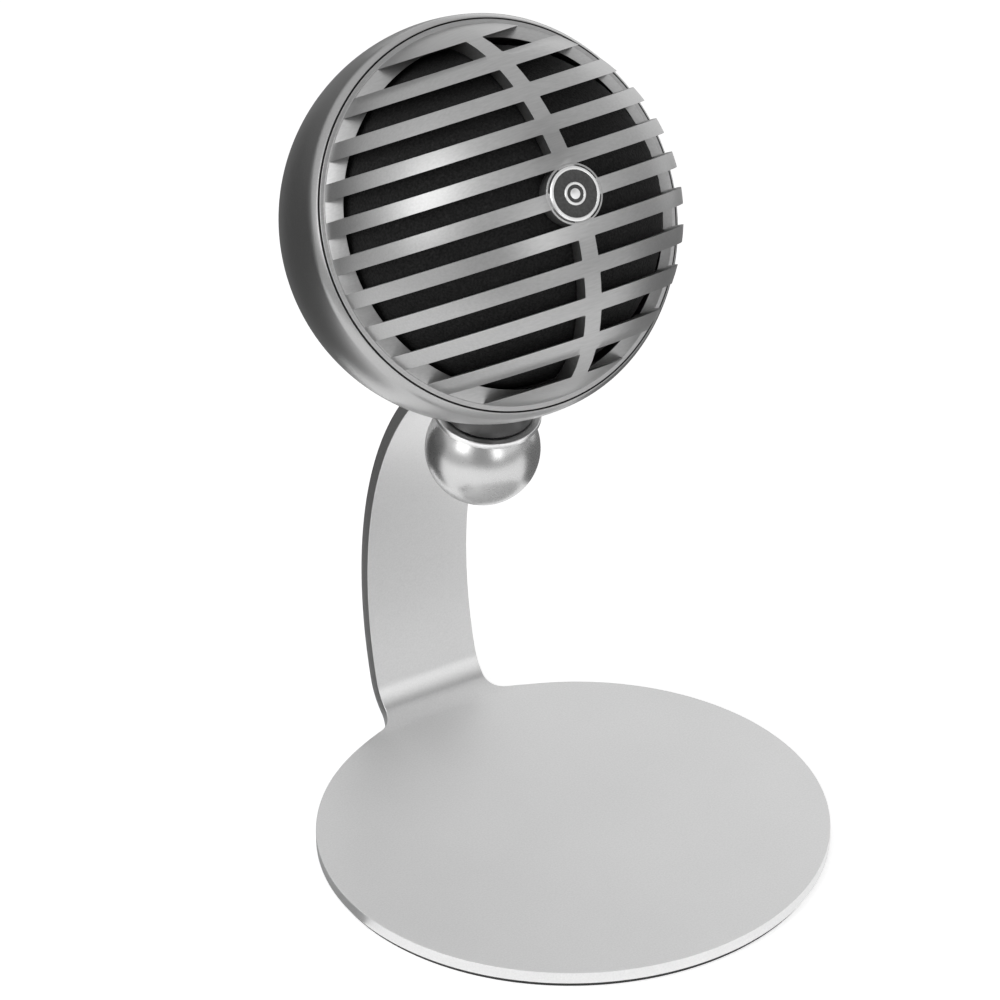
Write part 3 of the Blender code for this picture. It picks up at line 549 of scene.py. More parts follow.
def half_width(length):
    if length <= TOUCH_Y:
        return sqrt(BASE_R ** 2 - length ** 2)
    if length <= FILLET_Y:
        return FILLET_X - sqrt(max(NECK_FILLET ** 2 - (FILLET_Y - length) ** 2, 0.0))
    if length <= HOLE_LENGTH:
        return HALF_ARM
    return sqrt(max(HALF_ARM ** 2 - (length - HOLE_LENGTH) ** 2, 0.0))


def plate_rows():
    fillet_turn = asin((FILLET_Y - TOUCH_Y) / NECK_FILLET)
    lengths = spread_over(min(BEND_Y, TOUCH_Y), TOUCH_Y, 2)
    lengths += [FILLET_Y - NECK_FILLET * sin(a) for a in spread_over(fillet_turn, 0.0, 10)]
    lengths += spread_over(BEND_Y, ARC_LENGTH_START, 22)
    lengths += spread_over(ARC_LENGTH_START, HOLE_LENGTH, 44)
    lengths += [HOLE_LENGTH + HALF_ARM * sin(a) for a in spread_over(0.0, TIP_TURN, 16)]
    rows = []
    for length in sorted(lengths):
        if not rows or length > rows[-1][0] + LEAST_ROW:
            rows.append((length, half_width(length)))
    return rows


def plate_mesh():
    bm = bmesh.new()
    rows = plate_rows()
    disc_from = asin(rows[0][0] / BASE_R)
    disc = arc((0.0, 0.0), BASE_R, pi - disc_from, 2 * pi + disc_from, 180)[1:-1]
    borders = []
    for depth in (0.0, PLATE_T):
        left = [bm.verts.new(folded(-w, y, depth)) for y, w in rows]
        right = [bm.verts.new(folded(w, y, depth)) for y, w in rows]
        edge = [bm.verts.new(folded(x, y, depth)) for x, y in disc]
        bm.faces.new([left[0]] + edge + [right[0]])
        for i in range(len(rows) - 1):
            bm.faces.new((left[i], right[i], right[i + 1], left[i + 1]))
        borders.append(left[::-1] + edge + right)
    upper, lower = borders
    for i in range(len(upper)):
        j = (i + 1) % len(upper)
        bm.faces.new((upper[i], upper[j], lower[j], lower[i]))
    return bm


def edged(piece, width, segments=3, angle=radians(45)):
    change = piece.modifiers.new("soft_edge", "BEVEL")
    change.width = width
    change.segments = segments
    change.limit_method = "ANGLE"
    change.angle_limit = angle
    change.harden_normals = True
    settle(piece)


SCREW_HOLE_R = 3.4 * MM
BALL_R = 9.95 * MM
stand_plate = add("stand_plate", plate_mesh(), STAND_PLACE, STAND_METAL,
                  "stand", "satin_aluminium", "stand_frame")
edged(stand_plate, PLATE_EDGE)
arm_hole = rod(SCREW_HOLE_R, BALL_R - MM, BALL_R + 5 * MM)
cut(stand_plate, tool("arm_hole", turned(arm_hole), SCREW_PLACE))
print("bend and hole of the flat plate in mm:", in_mm((BEND_Y, HOLE_LENGTH)))

# %% [markdown]
# ## The foot pad
# A thin rubber disc under the base keeps it from sliding. From the front it is only a dark line.
# Turned over, it has rings pressed into it, so it is turned from a profile with shallow grooves.

# %% Foot pad
PAD_R = BASE_R - 0.65 * MM
PAD_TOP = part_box("foot_pad")[1].z
GROOVE = 0.18 * MM
RING_COUNT = 7
FIRST_RING = 8.0 * MM
RING_STEP = 5.0 * MM
RING_WIDTH = 2.8 * MM
EDGE_WIDTH = 2.0 * MM
RING_SLOPE = 0.2 * MM
pad = [(0.0, PAD_TOP), (0.0, GROOVE)]
for k in range(RING_COUNT):
    land = FIRST_RING + RING_STEP * k
    pad += [(land - RING_WIDTH - RING_SLOPE, GROOVE), (land - RING_WIDTH, 0.0)]
    pad += [(land, 0.0), (land + RING_SLOPE, GROOVE)]
pad += [(PAD_R - EDGE_WIDTH - RING_SLOPE, GROOVE), (PAD_R - EDGE_WIDTH, 0.0)]
pad += [(PAD_R, 0.0), (PAD_R, PAD_TOP)]
pad_bm = soft_turned(pad[::-1], 0.12 * MM, 160)
add("ringed_foot_pad", pad_bm, STAND_PLACE, RUBBER, "stand", "black_rubber", "foot_pad")

# %% [markdown]
# ## The ball
# The head tilts on a satin chrome ball. A slot lets the stud swing, a flat with a hole for the screw
# seats it on the arm, and a cross hole takes the hinge pin. The slot is drawn round the two end positions
# of the stud, then all three are cut out of a finely turned sphere.

# %% Ball
TILT_RANGE = radians(joints["head_tilt"]["range_deg"][1])
STUD_R = 2.0 * MM
EYE_R = 3.8 * MM
EYE_CLEAR = EYE_R + 0.4 * MM
SLOT_SIDE = STUD_R + 0.4 * MM
SLOT_HALF = 2.6 * MM
PIN_HOLE_R = 1.5 * MM
BALL_FLAT = BALL_R - 1.55 * MM
SHANK_HOLE_R = 3.3 * MM
SOCKET_FLOOR = EYE_CLEAR + 0.8 * MM
PIN_END = 5.65 * MM
neck_axis = NECK_PLACE.col[2].xyz
NECK_REST = atan2(-neck_axis.y, neck_axis.z)
SIDEWAYS = Matrix(((0, 0, 1, 0), (1, 0, 0, 0), (0, 1, 0, 0), (0, 0, 0, 1)))


def neck_way(turn, along, sideways):
    return (cos(turn) * sideways - sin(turn) * along, sin(turn) * sideways + cos(turn) * along)


def stud_slot():
    outside = BALL_R + 4 * MM
    inside = sqrt(EYE_CLEAR ** 2 - SLOT_SIDE ** 2)
    forward = NECK_REST + TILT_RANGE
    outline = [neck_way(forward, inside, -SLOT_SIDE), neck_way(forward, outside, -SLOT_SIDE)]
    outline.append(neck_way(NECK_REST + TILT_RANGE / 2, outside * 1.3, 0.0))
    outline += [neck_way(NECK_REST, outside, SLOT_SIDE), neck_way(NECK_REST, inside, SLOT_SIDE)]
    side_turn = asin(SLOT_SIDE / EYE_CLEAR)
    first = pi / 2 + NECK_REST - side_turn
    last = pi / 2 + forward + side_turn - 2 * pi
    outline += arc((0.0, 0.0), EYE_CLEAR, first, last, 32)[1:-1]
    return outline


sphere = turned(arc((0.0, 0.0), BALL_R, -pi / 2, pi / 2, 64), 128)
ball = add("tilt_ball", sphere, BALL_PLACE, BALL_METAL, "stand", "satin_chrome", "pivot_ball")
pin_place = BALL_PLACE @ SIDEWAYS
slot_tool = tool("slot_tool", pushed(stud_slot(), -SLOT_HALF, SLOT_HALF), pin_place)
pin_tool = tool("pin_tool", pushed(ring(PIN_HOLE_R), -PIN_END, BALL_R + MM), pin_place)
socket = [(0.0, SOCKET_FLOOR), (SHANK_HOLE_R, SOCKET_FLOOR), (SHANK_HOLE_R, BALL_FLAT), (BALL_R, BALL_FLAT)]
socket += [(BALL_R, BALL_R + MM), (0.0, BALL_R + MM)]
cut(ball, slot_tool, pin_tool, tool("socket_tool", turned(socket, 64), SCREW_PLACE))
smooth(ball)
print("ball cut for a swing of", round(TILT_RANGE * 180 / pi), "degrees")

# %% [markdown]
# ## The thumb screw
# Behind the arm a knurled knob clamps the ball. Its ribs are a wave round the outline,
# and the ends are drawn in so that the knob has rounded rims and a shallow dished face.

# %% Thumb knob and its washers
KNOB_R = 7.4 * MM
KNOB_LENGTH = 8.0 * MM
KNOB_RIBS = 20
RIB_POINTS = 8
KNOB_WAVE = 0.22 * MM
ARM_CLEAR = 0.15 * MM
ARM_BACK = BALL_R + ARM_CLEAR + PLATE_T
WASHER_T = 0.8 * MM
WASHER_HOLE_R = 3.3 * MM
CLAMP_R = 5.6 * MM
BALL_SEAT_R = 5.0 * MM
KNOB_FRONT = ARM_BACK + WASHER_T + 2 * GAP
KNOB_FAR = KNOB_FRONT + KNOB_LENGTH
KNOB_BORE_R = 3.3 * MM
KNOB_BORE_END = KNOB_FRONT + 5.85 * MM


def ribbed(inset, depth=1.0):
    points = []
    for i in range(KNOB_RIBS * RIB_POINTS):
        turn = 2 * pi * i / (KNOB_RIBS * RIB_POINTS)
        rib = max(-0.6, min(0.8, 1.5 * cos(KNOB_RIBS * turn)))
        wave = KNOB_WAVE * (1.0 - depth * (1.0 - rib))
        reach = KNOB_R - KNOB_WAVE + wave - inset
        points.append((reach * cos(turn), reach * sin(turn)))
    return points


knob_levels = [(ribbed(1.0 * MM, 0.0), KNOB_FRONT), (ribbed(0.4 * MM, 0.4), KNOB_FRONT + 0.15 * MM)]
knob_levels += [(ribbed(0.0), KNOB_FRONT + 0.7 * MM), (ribbed(0.0), KNOB_FAR - 0.9 * MM)]
knob_levels += [(ribbed(0.4 * MM, 0.4), KNOB_FAR - 0.2 * MM), (ribbed(1.1 * MM, 0.0), KNOB_FAR)]
knob_levels += [(ribbed(1.9 * MM, 0.0), KNOB_FAR), (ribbed(2.3 * MM, 0.0), KNOB_FAR - 0.4 * MM)]
knob = add("ribbed_knob", stacked(knob_levels), SCREW_PLACE, KNOB_METAL,
           "thumb_screw", "satin_aluminium", "thumb_knob")
bore = rod(KNOB_BORE_R, KNOB_FRONT - MM, KNOB_BORE_END)
cut(knob, tool("knob_bore", turned(bore, 48), SCREW_PLACE))
smooth(knob)


def washer(name, outer, low, high, finish, slot, node):
    profile = [(WASHER_HOLE_R, low), (outer, low), (outer, high), (WASHER_HOLE_R, high)]
    add(name, soft_turned(profile, 0.15 * MM, 64), SCREW_PLACE, finish, "stand", slot, node)


arm_hollow = ARM_R - sqrt(ARM_R ** 2 - BALL_SEAT_R ** 2)
seat_far = BALL_R + ARM_CLEAR - arm_hollow - GAP
clamp_from = ARM_BACK + GAP
washer("clamp_washer", CLAMP_R, clamp_from, clamp_from + WASHER_T, STEEL, "plain_steel", "knob_washer")
washer("ball_seat", BALL_SEAT_R, BALL_FLAT + GAP, seat_far, RUBBER, "black_rubber", "seat_washer")

# %% [markdown]
# ## The head's shell
# The shell is a bowl on one sphere with a flat rear face and a thin lip round the front.
# A lathe gives it in one go: outside down to the rear, through the seat of the rear panel, and back inside.
# The lip is chamfered, and the gap between it and the flange of the grille reads as a dark line.

# %% Shell and neck boss
BOWL_R = 34.6 * MM
BOWL_BACK = 2.2 * MM
BOWL_IN = BOWL_R - 2.0 * MM
SEAT_R = BOWL_R - 1.25 * MM
WALL_R = SEAT_R - 1.95 * MM
SEAT_FLOOR = -2.8 * MM
LIP_FRONT = 3.6 * MM
LIP_EDGE = LIP_FRONT - 1.6 * MM
REAR_DEPTH = 21.0 * MM
REAR_ROUND = 5.0 * MM
REAR_INSIDE = 3.0 * MM - REAR_DEPTH
REAR_ROUND_R = sqrt((BOWL_R - REAR_ROUND) ** 2 - (REAR_DEPTH - REAR_ROUND - BOWL_BACK) ** 2)
COVER_R = REAR_ROUND_R - 3.15 * MM
COVER_LEDGE = 4.8 * MM
OPENING_R = COVER_R - COVER_LEDGE
COVER_SEAT = 1.8 * MM - REAR_DEPTH

round_turn = atan2(REAR_ROUND - REAR_DEPTH + BOWL_BACK, REAR_ROUND_R)
bowl_middle = (0.0, -BOWL_BACK)
shell = [(SEAT_R, SEAT_FLOOR), (SEAT_R, LIP_FRONT), (SEAT_R + 0.15 * MM, LIP_FRONT)]
shell += [(SEAT_R + 0.7 * MM, LIP_FRONT - 0.85 * MM)]
shell += arc(bowl_middle, BOWL_R, asin((LIP_EDGE + BOWL_BACK) / BOWL_R), round_turn, 36)
shell += arc((REAR_ROUND_R, REAR_ROUND - REAR_DEPTH), REAR_ROUND, round_turn, -pi / 2, 16)[1:]
shell += [(COVER_R + GAP, -REAR_DEPTH), (COVER_R + GAP, COVER_SEAT), (OPENING_R, COVER_SEAT)]
shell += [(OPENING_R, REAR_INSIDE)]
inside_turn = asin((REAR_INSIDE + BOWL_BACK) / BOWL_IN)
shell += arc(bowl_middle, BOWL_IN, inside_turn, -acos(WALL_R / BOWL_IN), 20)
shell += [(WALL_R, SEAT_FLOOR)]
shell_bm = soft_turned(shell, 0.2 * MM, 192)
add("head_shell", shell_bm, HEAD_PLACE, SHELL_METAL, "head", "graphite_paint", "rear_housing")

COLLAR_RISE = 9.1 * MM
COLLAR_T = 1.1 * MM
BOSS_LOW = COLLAR_RISE + GAP
BOSS_HIGH = 17.5 * MM
BOSS_R = 8.1 * MM
BOSS_REAR = 3.8 * MM
BALL_CLEAR = BALL_R + 0.3 * MM


def boss_outline(inset):
    return flat_sided(BOSS_R - inset, BOSS_REAR - inset)


# The boss's dark finish carries painted shade from under the head.
boss = add("neck_boss", soft_pushed(boss_outline, BOSS_LOW, BOSS_HIGH, 0.25 * MM), NECK_PLACE, NECK_METAL_PAINTED_SHADE,
           "head", "graphite_paint", "rear_housing")
cup_tool = tool("cup_tool", turned(arc((0.0, 0.0), BALL_CLEAR, -pi / 2, pi / 2, 48), 96), BALL_PLACE)
stud_hole = rod(STUD_R + GAP, 0.0, 30 * MM)
cut(boss, cup_tool, tool("stud_tool", turned(stud_hole, 48), NECK_PLACE))
smooth(boss)

# %% [markdown]
# ## The swivel collar
# A bright ring sits between ball and boss. It is open at the back, where the arm is,
# so its outline runs round the outside from one end to the other and back along the hole.

# %% Collar
COLLAR_R = 9.35 * MM
COLLAR_REAR = 5.2 * MM
COLLAR_HOLE_R = 6.95 * MM


def collar_outline(inset):
    outside = flat_sided(COLLAR_R - inset, COLLAR_REAR - inset, 96)
    inside = flat_sided(COLLAR_HOLE_R + inset, COLLAR_REAR - inset, 72)
    return outside + inside[::-1]


collar_bm = soft_pushed(collar_outline, COLLAR_RISE - COLLAR_T, COLLAR_RISE, 0.2 * MM)
add("bright_swivel_collar", collar_bm, NECK_PLACE, COLLAR_METAL, "head", "satin_aluminium", "swivel_collar")

# %% [markdown]
# ## The grille
# The hardest piece: a dome pierced by ten rows of slots on each side of a narrow spine.
# Cutting a sphere with twenty boxes works, but leaves ragged faces that show in every reflection.
# Here the dome is laid out as a grid of cells instead. A row is a height on the dome, a column a turn
# round the upright axis, and a cell is either metal or slot. Only metal cells get faces, so the mesh
# is clean, the walls of the bars stay level, and bevels round the slot corners and every sharp edge.

# %% Grille bars and spine
DOME_R = SEAT_R - 0.81 * MM
DOME_WALL = 3.1 * MM
SLOT_PITCH = 6.12 * MM
SLOT_HEIGHT = 3.4 * MM
SLOT_PAIRS = 5
SPINE_HALF = 1.55 * MM
DOME_TOP = 32.2 * MM
BAR_END = 3.5 * MM
SIDE_CELLS = 30
SPINE_CELLS = 2
SLOT_CORNER = 0.45 * MM
BAR_EDGE = 0.2 * MM
BED_R = 3.4 * MM
BED_SINK = 1.3 * MM
LEAST_REACH = 0.35
FACING_FRONT = 0.5
CAP_STEPS = 7
BAR_STEPS = 2


def grille_rows():
    rows = []
    edge = DOME_TOP
    for i in range(SLOT_PAIRS - 1, -1, -1):
        slot_high = SLOT_PITCH * (i + 0.5) + SLOT_HEIGHT / 2
        rows.append((edge, slot_high, True))
        edge = slot_high - SLOT_HEIGHT
        rows.append((slot_high, edge, False))
    rows.append((edge, -edge, True))
    rows += [(-low, -high, metal_row) for high, low, metal_row in rows[-2::-1]]
    heights = [rows[0][0]]
    solid = []
    for high, low, metal_row in rows:
        cap = abs(high + low) / 2 > SLOT_PITCH * SLOT_PAIRS - SLOT_HEIGHT / 2
        steps = CAP_STEPS if cap else BAR_STEPS
        turns = spread_over(asin(high / DOME_R), asin(low / DOME_R), steps)[1:]
        heights += [DOME_R * sin(a) for a in turns]
        solid += [metal_row] * steps
    return heights, solid


def row_turns(height):
    reach = sqrt(DOME_R ** 2 - height ** 2)
    spine = asin(SPINE_HALF / reach)
    end = acos(BAR_END / reach)
    left = spread_over(-end, -spine, SIDE_CELLS)
    return left + spread_over(-spine, spine, SPINE_CELLS)[1:] + [-a for a in left[-2::-1]]


def dome_point(radius, height, turn):
    least = LEAST_REACH ** 2 * (DOME_R ** 2 - height ** 2)
    reach = sqrt(max(radius ** 2 - height ** 2, least))
    sideways = reach * sin(turn)
    if sqrt(sideways ** 2 + height ** 2) < BED_R and cos(turn) > FACING_FRONT:
        reach -= BED_SINK
    return (reach * sin(turn), height, reach * cos(turn))


def grille_mesh():
    bm = bmesh.new()
    round_corner = bm.edges.layers.float.new("bevel_weight_edge")
    heights, solid_rows = grille_rows()
    front = []
    back = []
    for height in heights:
        turns = row_turns(height)
        front.append([bm.verts.new(dome_point(DOME_R, height, a)) for a in turns])
        back.append([bm.verts.new(dome_point(DOME_R - DOME_WALL, height, a)) for a in turns])
    columns = len(front[0]) - 1

    def is_metal(i, j):
        if not (0 <= i < len(solid_rows) and 0 <= j < columns):
            return False
        return solid_rows[i] or SIDE_CELLS <= j < SIDE_CELLS + SPINE_CELLS

    for i in range(len(solid_rows)):
        for j in range(columns):
            if not is_metal(i, j):
                continue
            corners = ((i, j), (i, j + 1), (i + 1, j + 1), (i + 1, j))
            bm.faces.new([front[a][b] for a, b in corners])
            bm.faces.new([back[a][b] for a, b in corners[::-1]])
            sides = ((i - 1, j), (i, j + 1), (i + 1, j), (i, j - 1))
            for k, beside in enumerate(sides):
                if not is_metal(*beside):
                    (a, b), (c, d) = corners[k], corners[(k + 1) % 4]
                    bm.faces.new((front[a][b], back[a][b], back[c][d], front[c][d]))
    for i in range(1, len(solid_rows)):
        for j in range(1, columns):
            around = (is_metal(i - 1, j - 1), is_metal(i - 1, j), is_metal(i, j - 1), is_metal(i, j))
            if sum(around) == 3:
                edge = bm.edges.get((front[i][j], back[i][j]))
                edge[round_corner] = 1.0
    loose = [v for v in bm.verts if not v.link_faces]
    bmesh.ops.delete(bm, geom=loose, context="VERTS")
    bmesh.ops.recalc_face_normals(bm, faces=bm.faces[:])
    return bm


def round_by_weight(piece, width, segments):
    change = piece.modifiers.new("slot_corner", "BEVEL")
    change.limit_method = "WEIGHT"
    change.width = width
    change.segments = segments
    settle(piece)


def even_normals(piece):
    change = piece.modifiers.new("even_normals", "WEIGHTED_NORMAL")
    change.keep_sharp = True
    settle(piece)


bars = add("grille_bars", grille_mesh(), HEAD_PLACE, BAR_METAL, "head", "grille_silver", "front_grille")
round_by_weight(bars, SLOT_CORNER, 4)
edged(bars, BAR_EDGE, 2, radians(50))
smooth(bars)
even_normals(bars)
print("grille bars have", len(bars.data.polygons), "faces")

# %% [markdown]
# The bars end in a turned ring. Its skirt sits in the lip of the shell, and its front slopes up to the foam.
# Between the bars that slope closes the slots: it is the row of paler blocks along the edge of the dome.

# %% Grille base ring
FLANGE_R = SEAT_R - GAP
SKIRT_FRONT = LIP_FRONT + 0.2 * MM
RING_IN = DOME_R - 2.88 * MM
RING_FRONT = SKIRT_FRONT + 1.97 * MM
GRILLE_BACK = SEAT_FLOOR + 2.85 * MM
BLOCK_SLOPE = radians(30.0)
BLOCK_EDGE = RING_FRONT - (DOME_R - RING_IN) * tan(BLOCK_SLOPE)
base = [(FLANGE_R, GRILLE_BACK), (FLANGE_R, SKIRT_FRONT)]
base += [(sqrt(DOME_R ** 2 - d ** 2), d) for d in (SKIRT_FRONT, BLOCK_EDGE)]
base += [(RING_IN, RING_FRONT), (RING_IN, GRILLE_BACK)]
base_bm = soft_turned(base, 0.14 * MM, 192)
add("grille_base_ring", base_bm, HEAD_PLACE, BAR_METAL, "head", "grille_silver", "front_grille")

# %% [markdown]
# ## The medallion
# A round pad on the spine holds a small medallion. It stays plain: a bright rim, a dark enamel dish
# and a bright ring round a domed middle, all turned from one profile and split by finish afterwards.

# %% Medallion and its pad
MEDAL_R = 4.6 * MM
MEDAL_FLOOR = DOME_R - 0.95 * MM
PAD_PROUD = 0.02 * MM
PAD_RIM_R = MEDAL_R + 0.6 * MM
DOME_IN = DOME_R - DOME_WALL
pad_top = DOME_R + PAD_PROUD
pad_profile = [(0.0, DOME_IN), (PAD_RIM_R, DOME_IN)]
pad_radii = (PAD_RIM_R, PAD_RIM_R - 0.2 * MM, MEDAL_R + GAP)
pad_profile += [(r, sqrt(pad_top ** 2 - r ** 2)) for r in pad_radii]
pad_profile += [(MEDAL_R + GAP, MEDAL_FLOOR), (0.0, MEDAL_FLOOR)]
medal_pad_bm = soft_turned(pad_profile, 0.1 * MM, 96)
add("medallion_pad", medal_pad_bm, HEAD_PLACE, BAR_METAL, "head", "grille_silver", "front_grille")

DISH = DOME_R - 0.18 * MM
BAND_OUT = 2.0 * MM
BAND_IN = 1.4 * MM
medal = [(0.0, MEDAL_FLOOR + GAP), (MEDAL_R, MEDAL_FLOOR + GAP), (MEDAL_R, DOME_R - 0.2 * MM)]
medal += [(MEDAL_R - 0.2 * MM, DOME_R), (MEDAL_R - 0.55 * MM, DOME_R), (MEDAL_R - 0.7 * MM, DISH)]
medal += [(BAND_OUT, DISH), (BAND_OUT - 0.1 * MM, DOME_R), (BAND_IN + 0.15 * MM, DOME_R), (BAND_IN, DISH)]
medal += [(0.9 * MM, DISH + 0.04 * MM), (0.45 * MM, DISH + 0.12 * MM), (0.0, DISH + 0.15 * MM)]
medal_bm = soft_turned(medal, 0.06 * MM, 96)
medallion = add("plain_medallion", medal_bm, HEAD_PLACE, COLLAR_METAL, "head", "satin_chrome", "badge")
medallion.data.materials.append(ENAMEL)
to_head = HEAD_PLACE.inverted()
for face in medallion.data.polygons:
    spot = to_head @ face.center
    reach = spot.xy.length
    in_dish = BAND_OUT - 0.05 * MM < reach < MEDAL_R - 0.62 * MM
    in_middle = 0.95 * MM < reach < BAND_IN + 0.1 * MM
    if spot.z < DISH + 0.1 * MM and (in_dish or in_middle):
        face.material_index = 1

# %% [markdown]
# ## The foam liner
# A dome of black open-cell foam lies behind the bars. It is turned as a thick shell, and each point is then
# moved by a smooth noise, so the foam is a little uneven, as cut foam is. The cells are in its finish.

# %% Foam liner
FOAM_R = DOME_IN - 0.45 * MM
FOAM_T = 3.4 * MM
FOAM_LOW = -0.7 * MM
FOAM_LUMP = 0.16 * MM
LUMPS = 900.0
FINE_LUMPS = 2100.0
foam_in = FOAM_R - FOAM_T
foam = arc((0.0, 0.0), FOAM_R, asin(FOAM_LOW / FOAM_R), pi / 2, 56)
foam += arc((0.0, 0.0), foam_in, pi / 2, asin(FOAM_LOW / foam_in), 24)
foam_bm = turned(foam, 200)
bmesh.ops.remove_doubles(foam_bm, verts=foam_bm.verts[:], dist=MERGE)
for vert in foam_bm.verts:
    lump = noise.noise(vert.co * LUMPS) + 0.5 * noise.noise(vert.co * FINE_LUMPS)
    vert.co += vert.co.normalized() * lump * FOAM_LUMP
liner = add("open_foam_liner", foam_bm, HEAD_PLACE, FOAM, "head", "black_foam", "foam_liner")

# %% [markdown]
# ## The rear panel
# The back of the head is a flat panel with a mode button, a mute button, three mode lights,
# a data inlet, a headphone jack and three screws. A panel with holes is a filled curve:
# one loop for the edge and one for each hole, with a little depth and a bevel, turned into a mesh.

# %% Rear panel
def spots_on(radius, degrees):
    return [(radius * cos(radians(a)), radius * sin(radians(a))) for a in degrees]


COVER_OUT = 0.2 * MM - REAR_DEPTH
COVER_IN = COVER_SEAT - GAP
MODE_HALF_W = 4.6 * MM
MODE_R = 2.3 * MM
MODE_UP = 3.6 * MM
MUTE_R = 2.6 * MM
MUTE_UP = -3.4 * MM
SOCKET_REACH = OPENING_R - 5.9 * MM
SOCKET_TURN = radians(45.5)
USB_SPOT = (SOCKET_REACH * cos(SOCKET_TURN), -SOCKET_REACH * sin(SOCKET_TURN))
JACK_SPOT = (-USB_SPOT[0], USB_SPOT[1])
USB_W = 7.6 * MM
USB_H = 2.9 * MM
USB_CORNER = 0.7 * MM
JACK_R = 3.0 * MM
JACK_BORE_R = 1.85 * MM
GUIDE_R = 0.9 * MM
GUIDE_SPOTS = [(5.0 * MM * i, OPENING_R - 7.8 * MM) for i in (-1, 0, 1)]
SCREW_RING = COVER_R - COVER_LEDGE / 2
SCREW_SPOTS = spots_on(SCREW_RING, (90, 210, 330))
SCREW_CLEAR_R = 1.1 * MM
PANEL_EDGE = 0.15 * MM
PLATE_MERGE = 1e-6


def usb_outline(inset):
    return softened(box_outline(USB_W / 2 - inset, USB_H / 2 - inset, USB_SPOT), USB_CORNER, 6)


def pierced_plate(name, loops, low, high, edge):
    curve = bpy.data.curves.new(name, "CURVE")
    curve.dimensions = "2D"
    curve.fill_mode = "BOTH"
    curve.extrude = (high - low) / 2 - edge
    curve.bevel_depth = edge
    curve.bevel_resolution = 2
    curve.offset = -edge
    for loop in loops:
        spline = curve.splines.new("POLY")
        spline.points.add(len(loop) - 1)
        for point, (x, y) in zip(spline.points, loop):
            point.co = (x, y, 0.0, 1.0)
        spline.use_cyclic_u = True
    source = bpy.data.objects.new(name, curve)
    bpy.context.scene.collection.objects.link(source)
    bpy.context.view_layer.update()
    graph = bpy.context.evaluated_depsgraph_get()
    mesh = bpy.data.meshes.new_from_object(source.evaluated_get(graph))
    bpy.data.objects.remove(source, do_unlink=True)
    bm = bmesh.new()
    bm.from_mesh(mesh)
    bmesh.ops.translate(bm, vec=(0.0, 0.0, (low + high) / 2), verts=bm.verts[:])
    bmesh.ops.remove_doubles(bm, verts=bm.verts[:], dist=PLATE_MERGE)
    bpy.data.meshes.remove(mesh)
    return bm


panel_loops = [ring(COVER_R, 128), pill(MODE_HALF_W + GAP, MODE_R + GAP, (0.0, MODE_UP))]
panel_loops += [ring(MUTE_R + GAP, 48, (0.0, MUTE_UP)), usb_outline(-GAP), ring(JACK_R + GAP, 48, JACK_SPOT)]
panel_loops += [ring(GUIDE_R + GAP, 24, spot) for spot in GUIDE_SPOTS]
panel_loops += [ring(SCREW_CLEAR_R, 24, spot) for spot in SCREW_SPOTS]
panel_bm = pierced_plate("panel_curve", panel_loops, COVER_OUT, COVER_IN, PANEL_EDGE)
add("rear_panel", panel_bm, HEAD_PLACE, SHELL_METAL, "head", "graphite_paint", "rear_cover")

# %% [markdown]
# Three pillars behind the panel carry the circuit board.
# They are hidden, but the board would float without them.

# %% Board pillars
BOARD_LEVEL = -13.0 * MM
PILLAR_R = 2.1 * MM
PILLAR_RING = OPENING_R - 4.0 * MM
pillar_bm = bmesh.new()
for spot in spots_on(PILLAR_RING, (38, 142, 270)):
    pushed(ring(PILLAR_R, 32, spot), COVER_IN - 0.1 * MM, BOARD_LEVEL - 2 * GAP, pillar_bm)
add("board_pillars", pillar_bm, HEAD_PLACE, SHELL_METAL, "head", "graphite_paint", "rear_cover")

# %% [markdown]
# ## Buttons, lights, sockets and screws
# The buttons are moulded plastic with a soft rim and a slightly hollow face. Each is a stack of outlines:
# up the side, round the rim and down into the hollow. The flange behind the panel keeps it in.

# %% Buttons
BUTTON_OUT = -REAR_DEPTH - 0.6 * MM
FLANGE_BACK = COVER_IN + GAP
FLANGE_FRONT = FLANGE_BACK + 0.6 * MM
FLANGE_WIDTH = 0.7 * MM


def button(name, shape, body, node):
    levels = [(shape(1.2 * MM), BUTTON_OUT + 0.14 * MM), (shape(0.7 * MM), BUTTON_OUT + 0.06 * MM)]
    levels += [(shape(0.45 * MM), BUTTON_OUT), (shape(0.22 * MM), BUTTON_OUT + 0.05 * MM)]
    levels += [(shape(0.07 * MM), BUTTON_OUT + 0.17 * MM), (shape(0.0), BUTTON_OUT + 0.35 * MM)]
    flange = shape(-FLANGE_WIDTH)
    levels += [(shape(0.0), FLANGE_BACK), (flange, FLANGE_BACK + 0.02 * MM), (flange, FLANGE_FRONT)]
    add(name, stacked(levels), HEAD_PLACE, PLASTIC, body, "black_plastic", node)


def mode_outline(inset):
    return pill(MODE_HALF_W - inset, MODE_R - inset, (0.0, MODE_UP))


def mute_outline(inset):
    return ring(MUTE_R - inset, 48, (0.0, MUTE_UP))


button("mode_key", mode_outline, "mode_button", "mode_button")
button("mute_key", mute_outline, "mute_button", "mute_button")

# %% [markdown]
# The inlet is a folded steel shell with a tongue inside. The jack is a threaded nose on a block.
# Both stand on the board and reach through the panel, so each is built along the head's axis.

# %% Sockets
SOCKET_FRONT = BOARD_LEVEL - GAP
USB_WALL = 0.45 * MM
INLET_OUT = COVER_OUT + 0.1 * MM
INLET_EDGE = 0.1 * MM
usb_loops = [usb_outline(0.0), usb_outline(USB_WALL)]
usb_bm = pierced_plate("usb_curve", usb_loops, INLET_OUT, SOCKET_FRONT, INLET_EDGE)
add("inlet_shell", usb_bm, HEAD_PLACE, STEEL, "head", "plain_steel", "usb_socket")


def tongue_outline(inset):
    return softened(box_outline(2.3 * MM - inset, 0.42 * MM - inset, USB_SPOT), 0.15 * MM, 4)


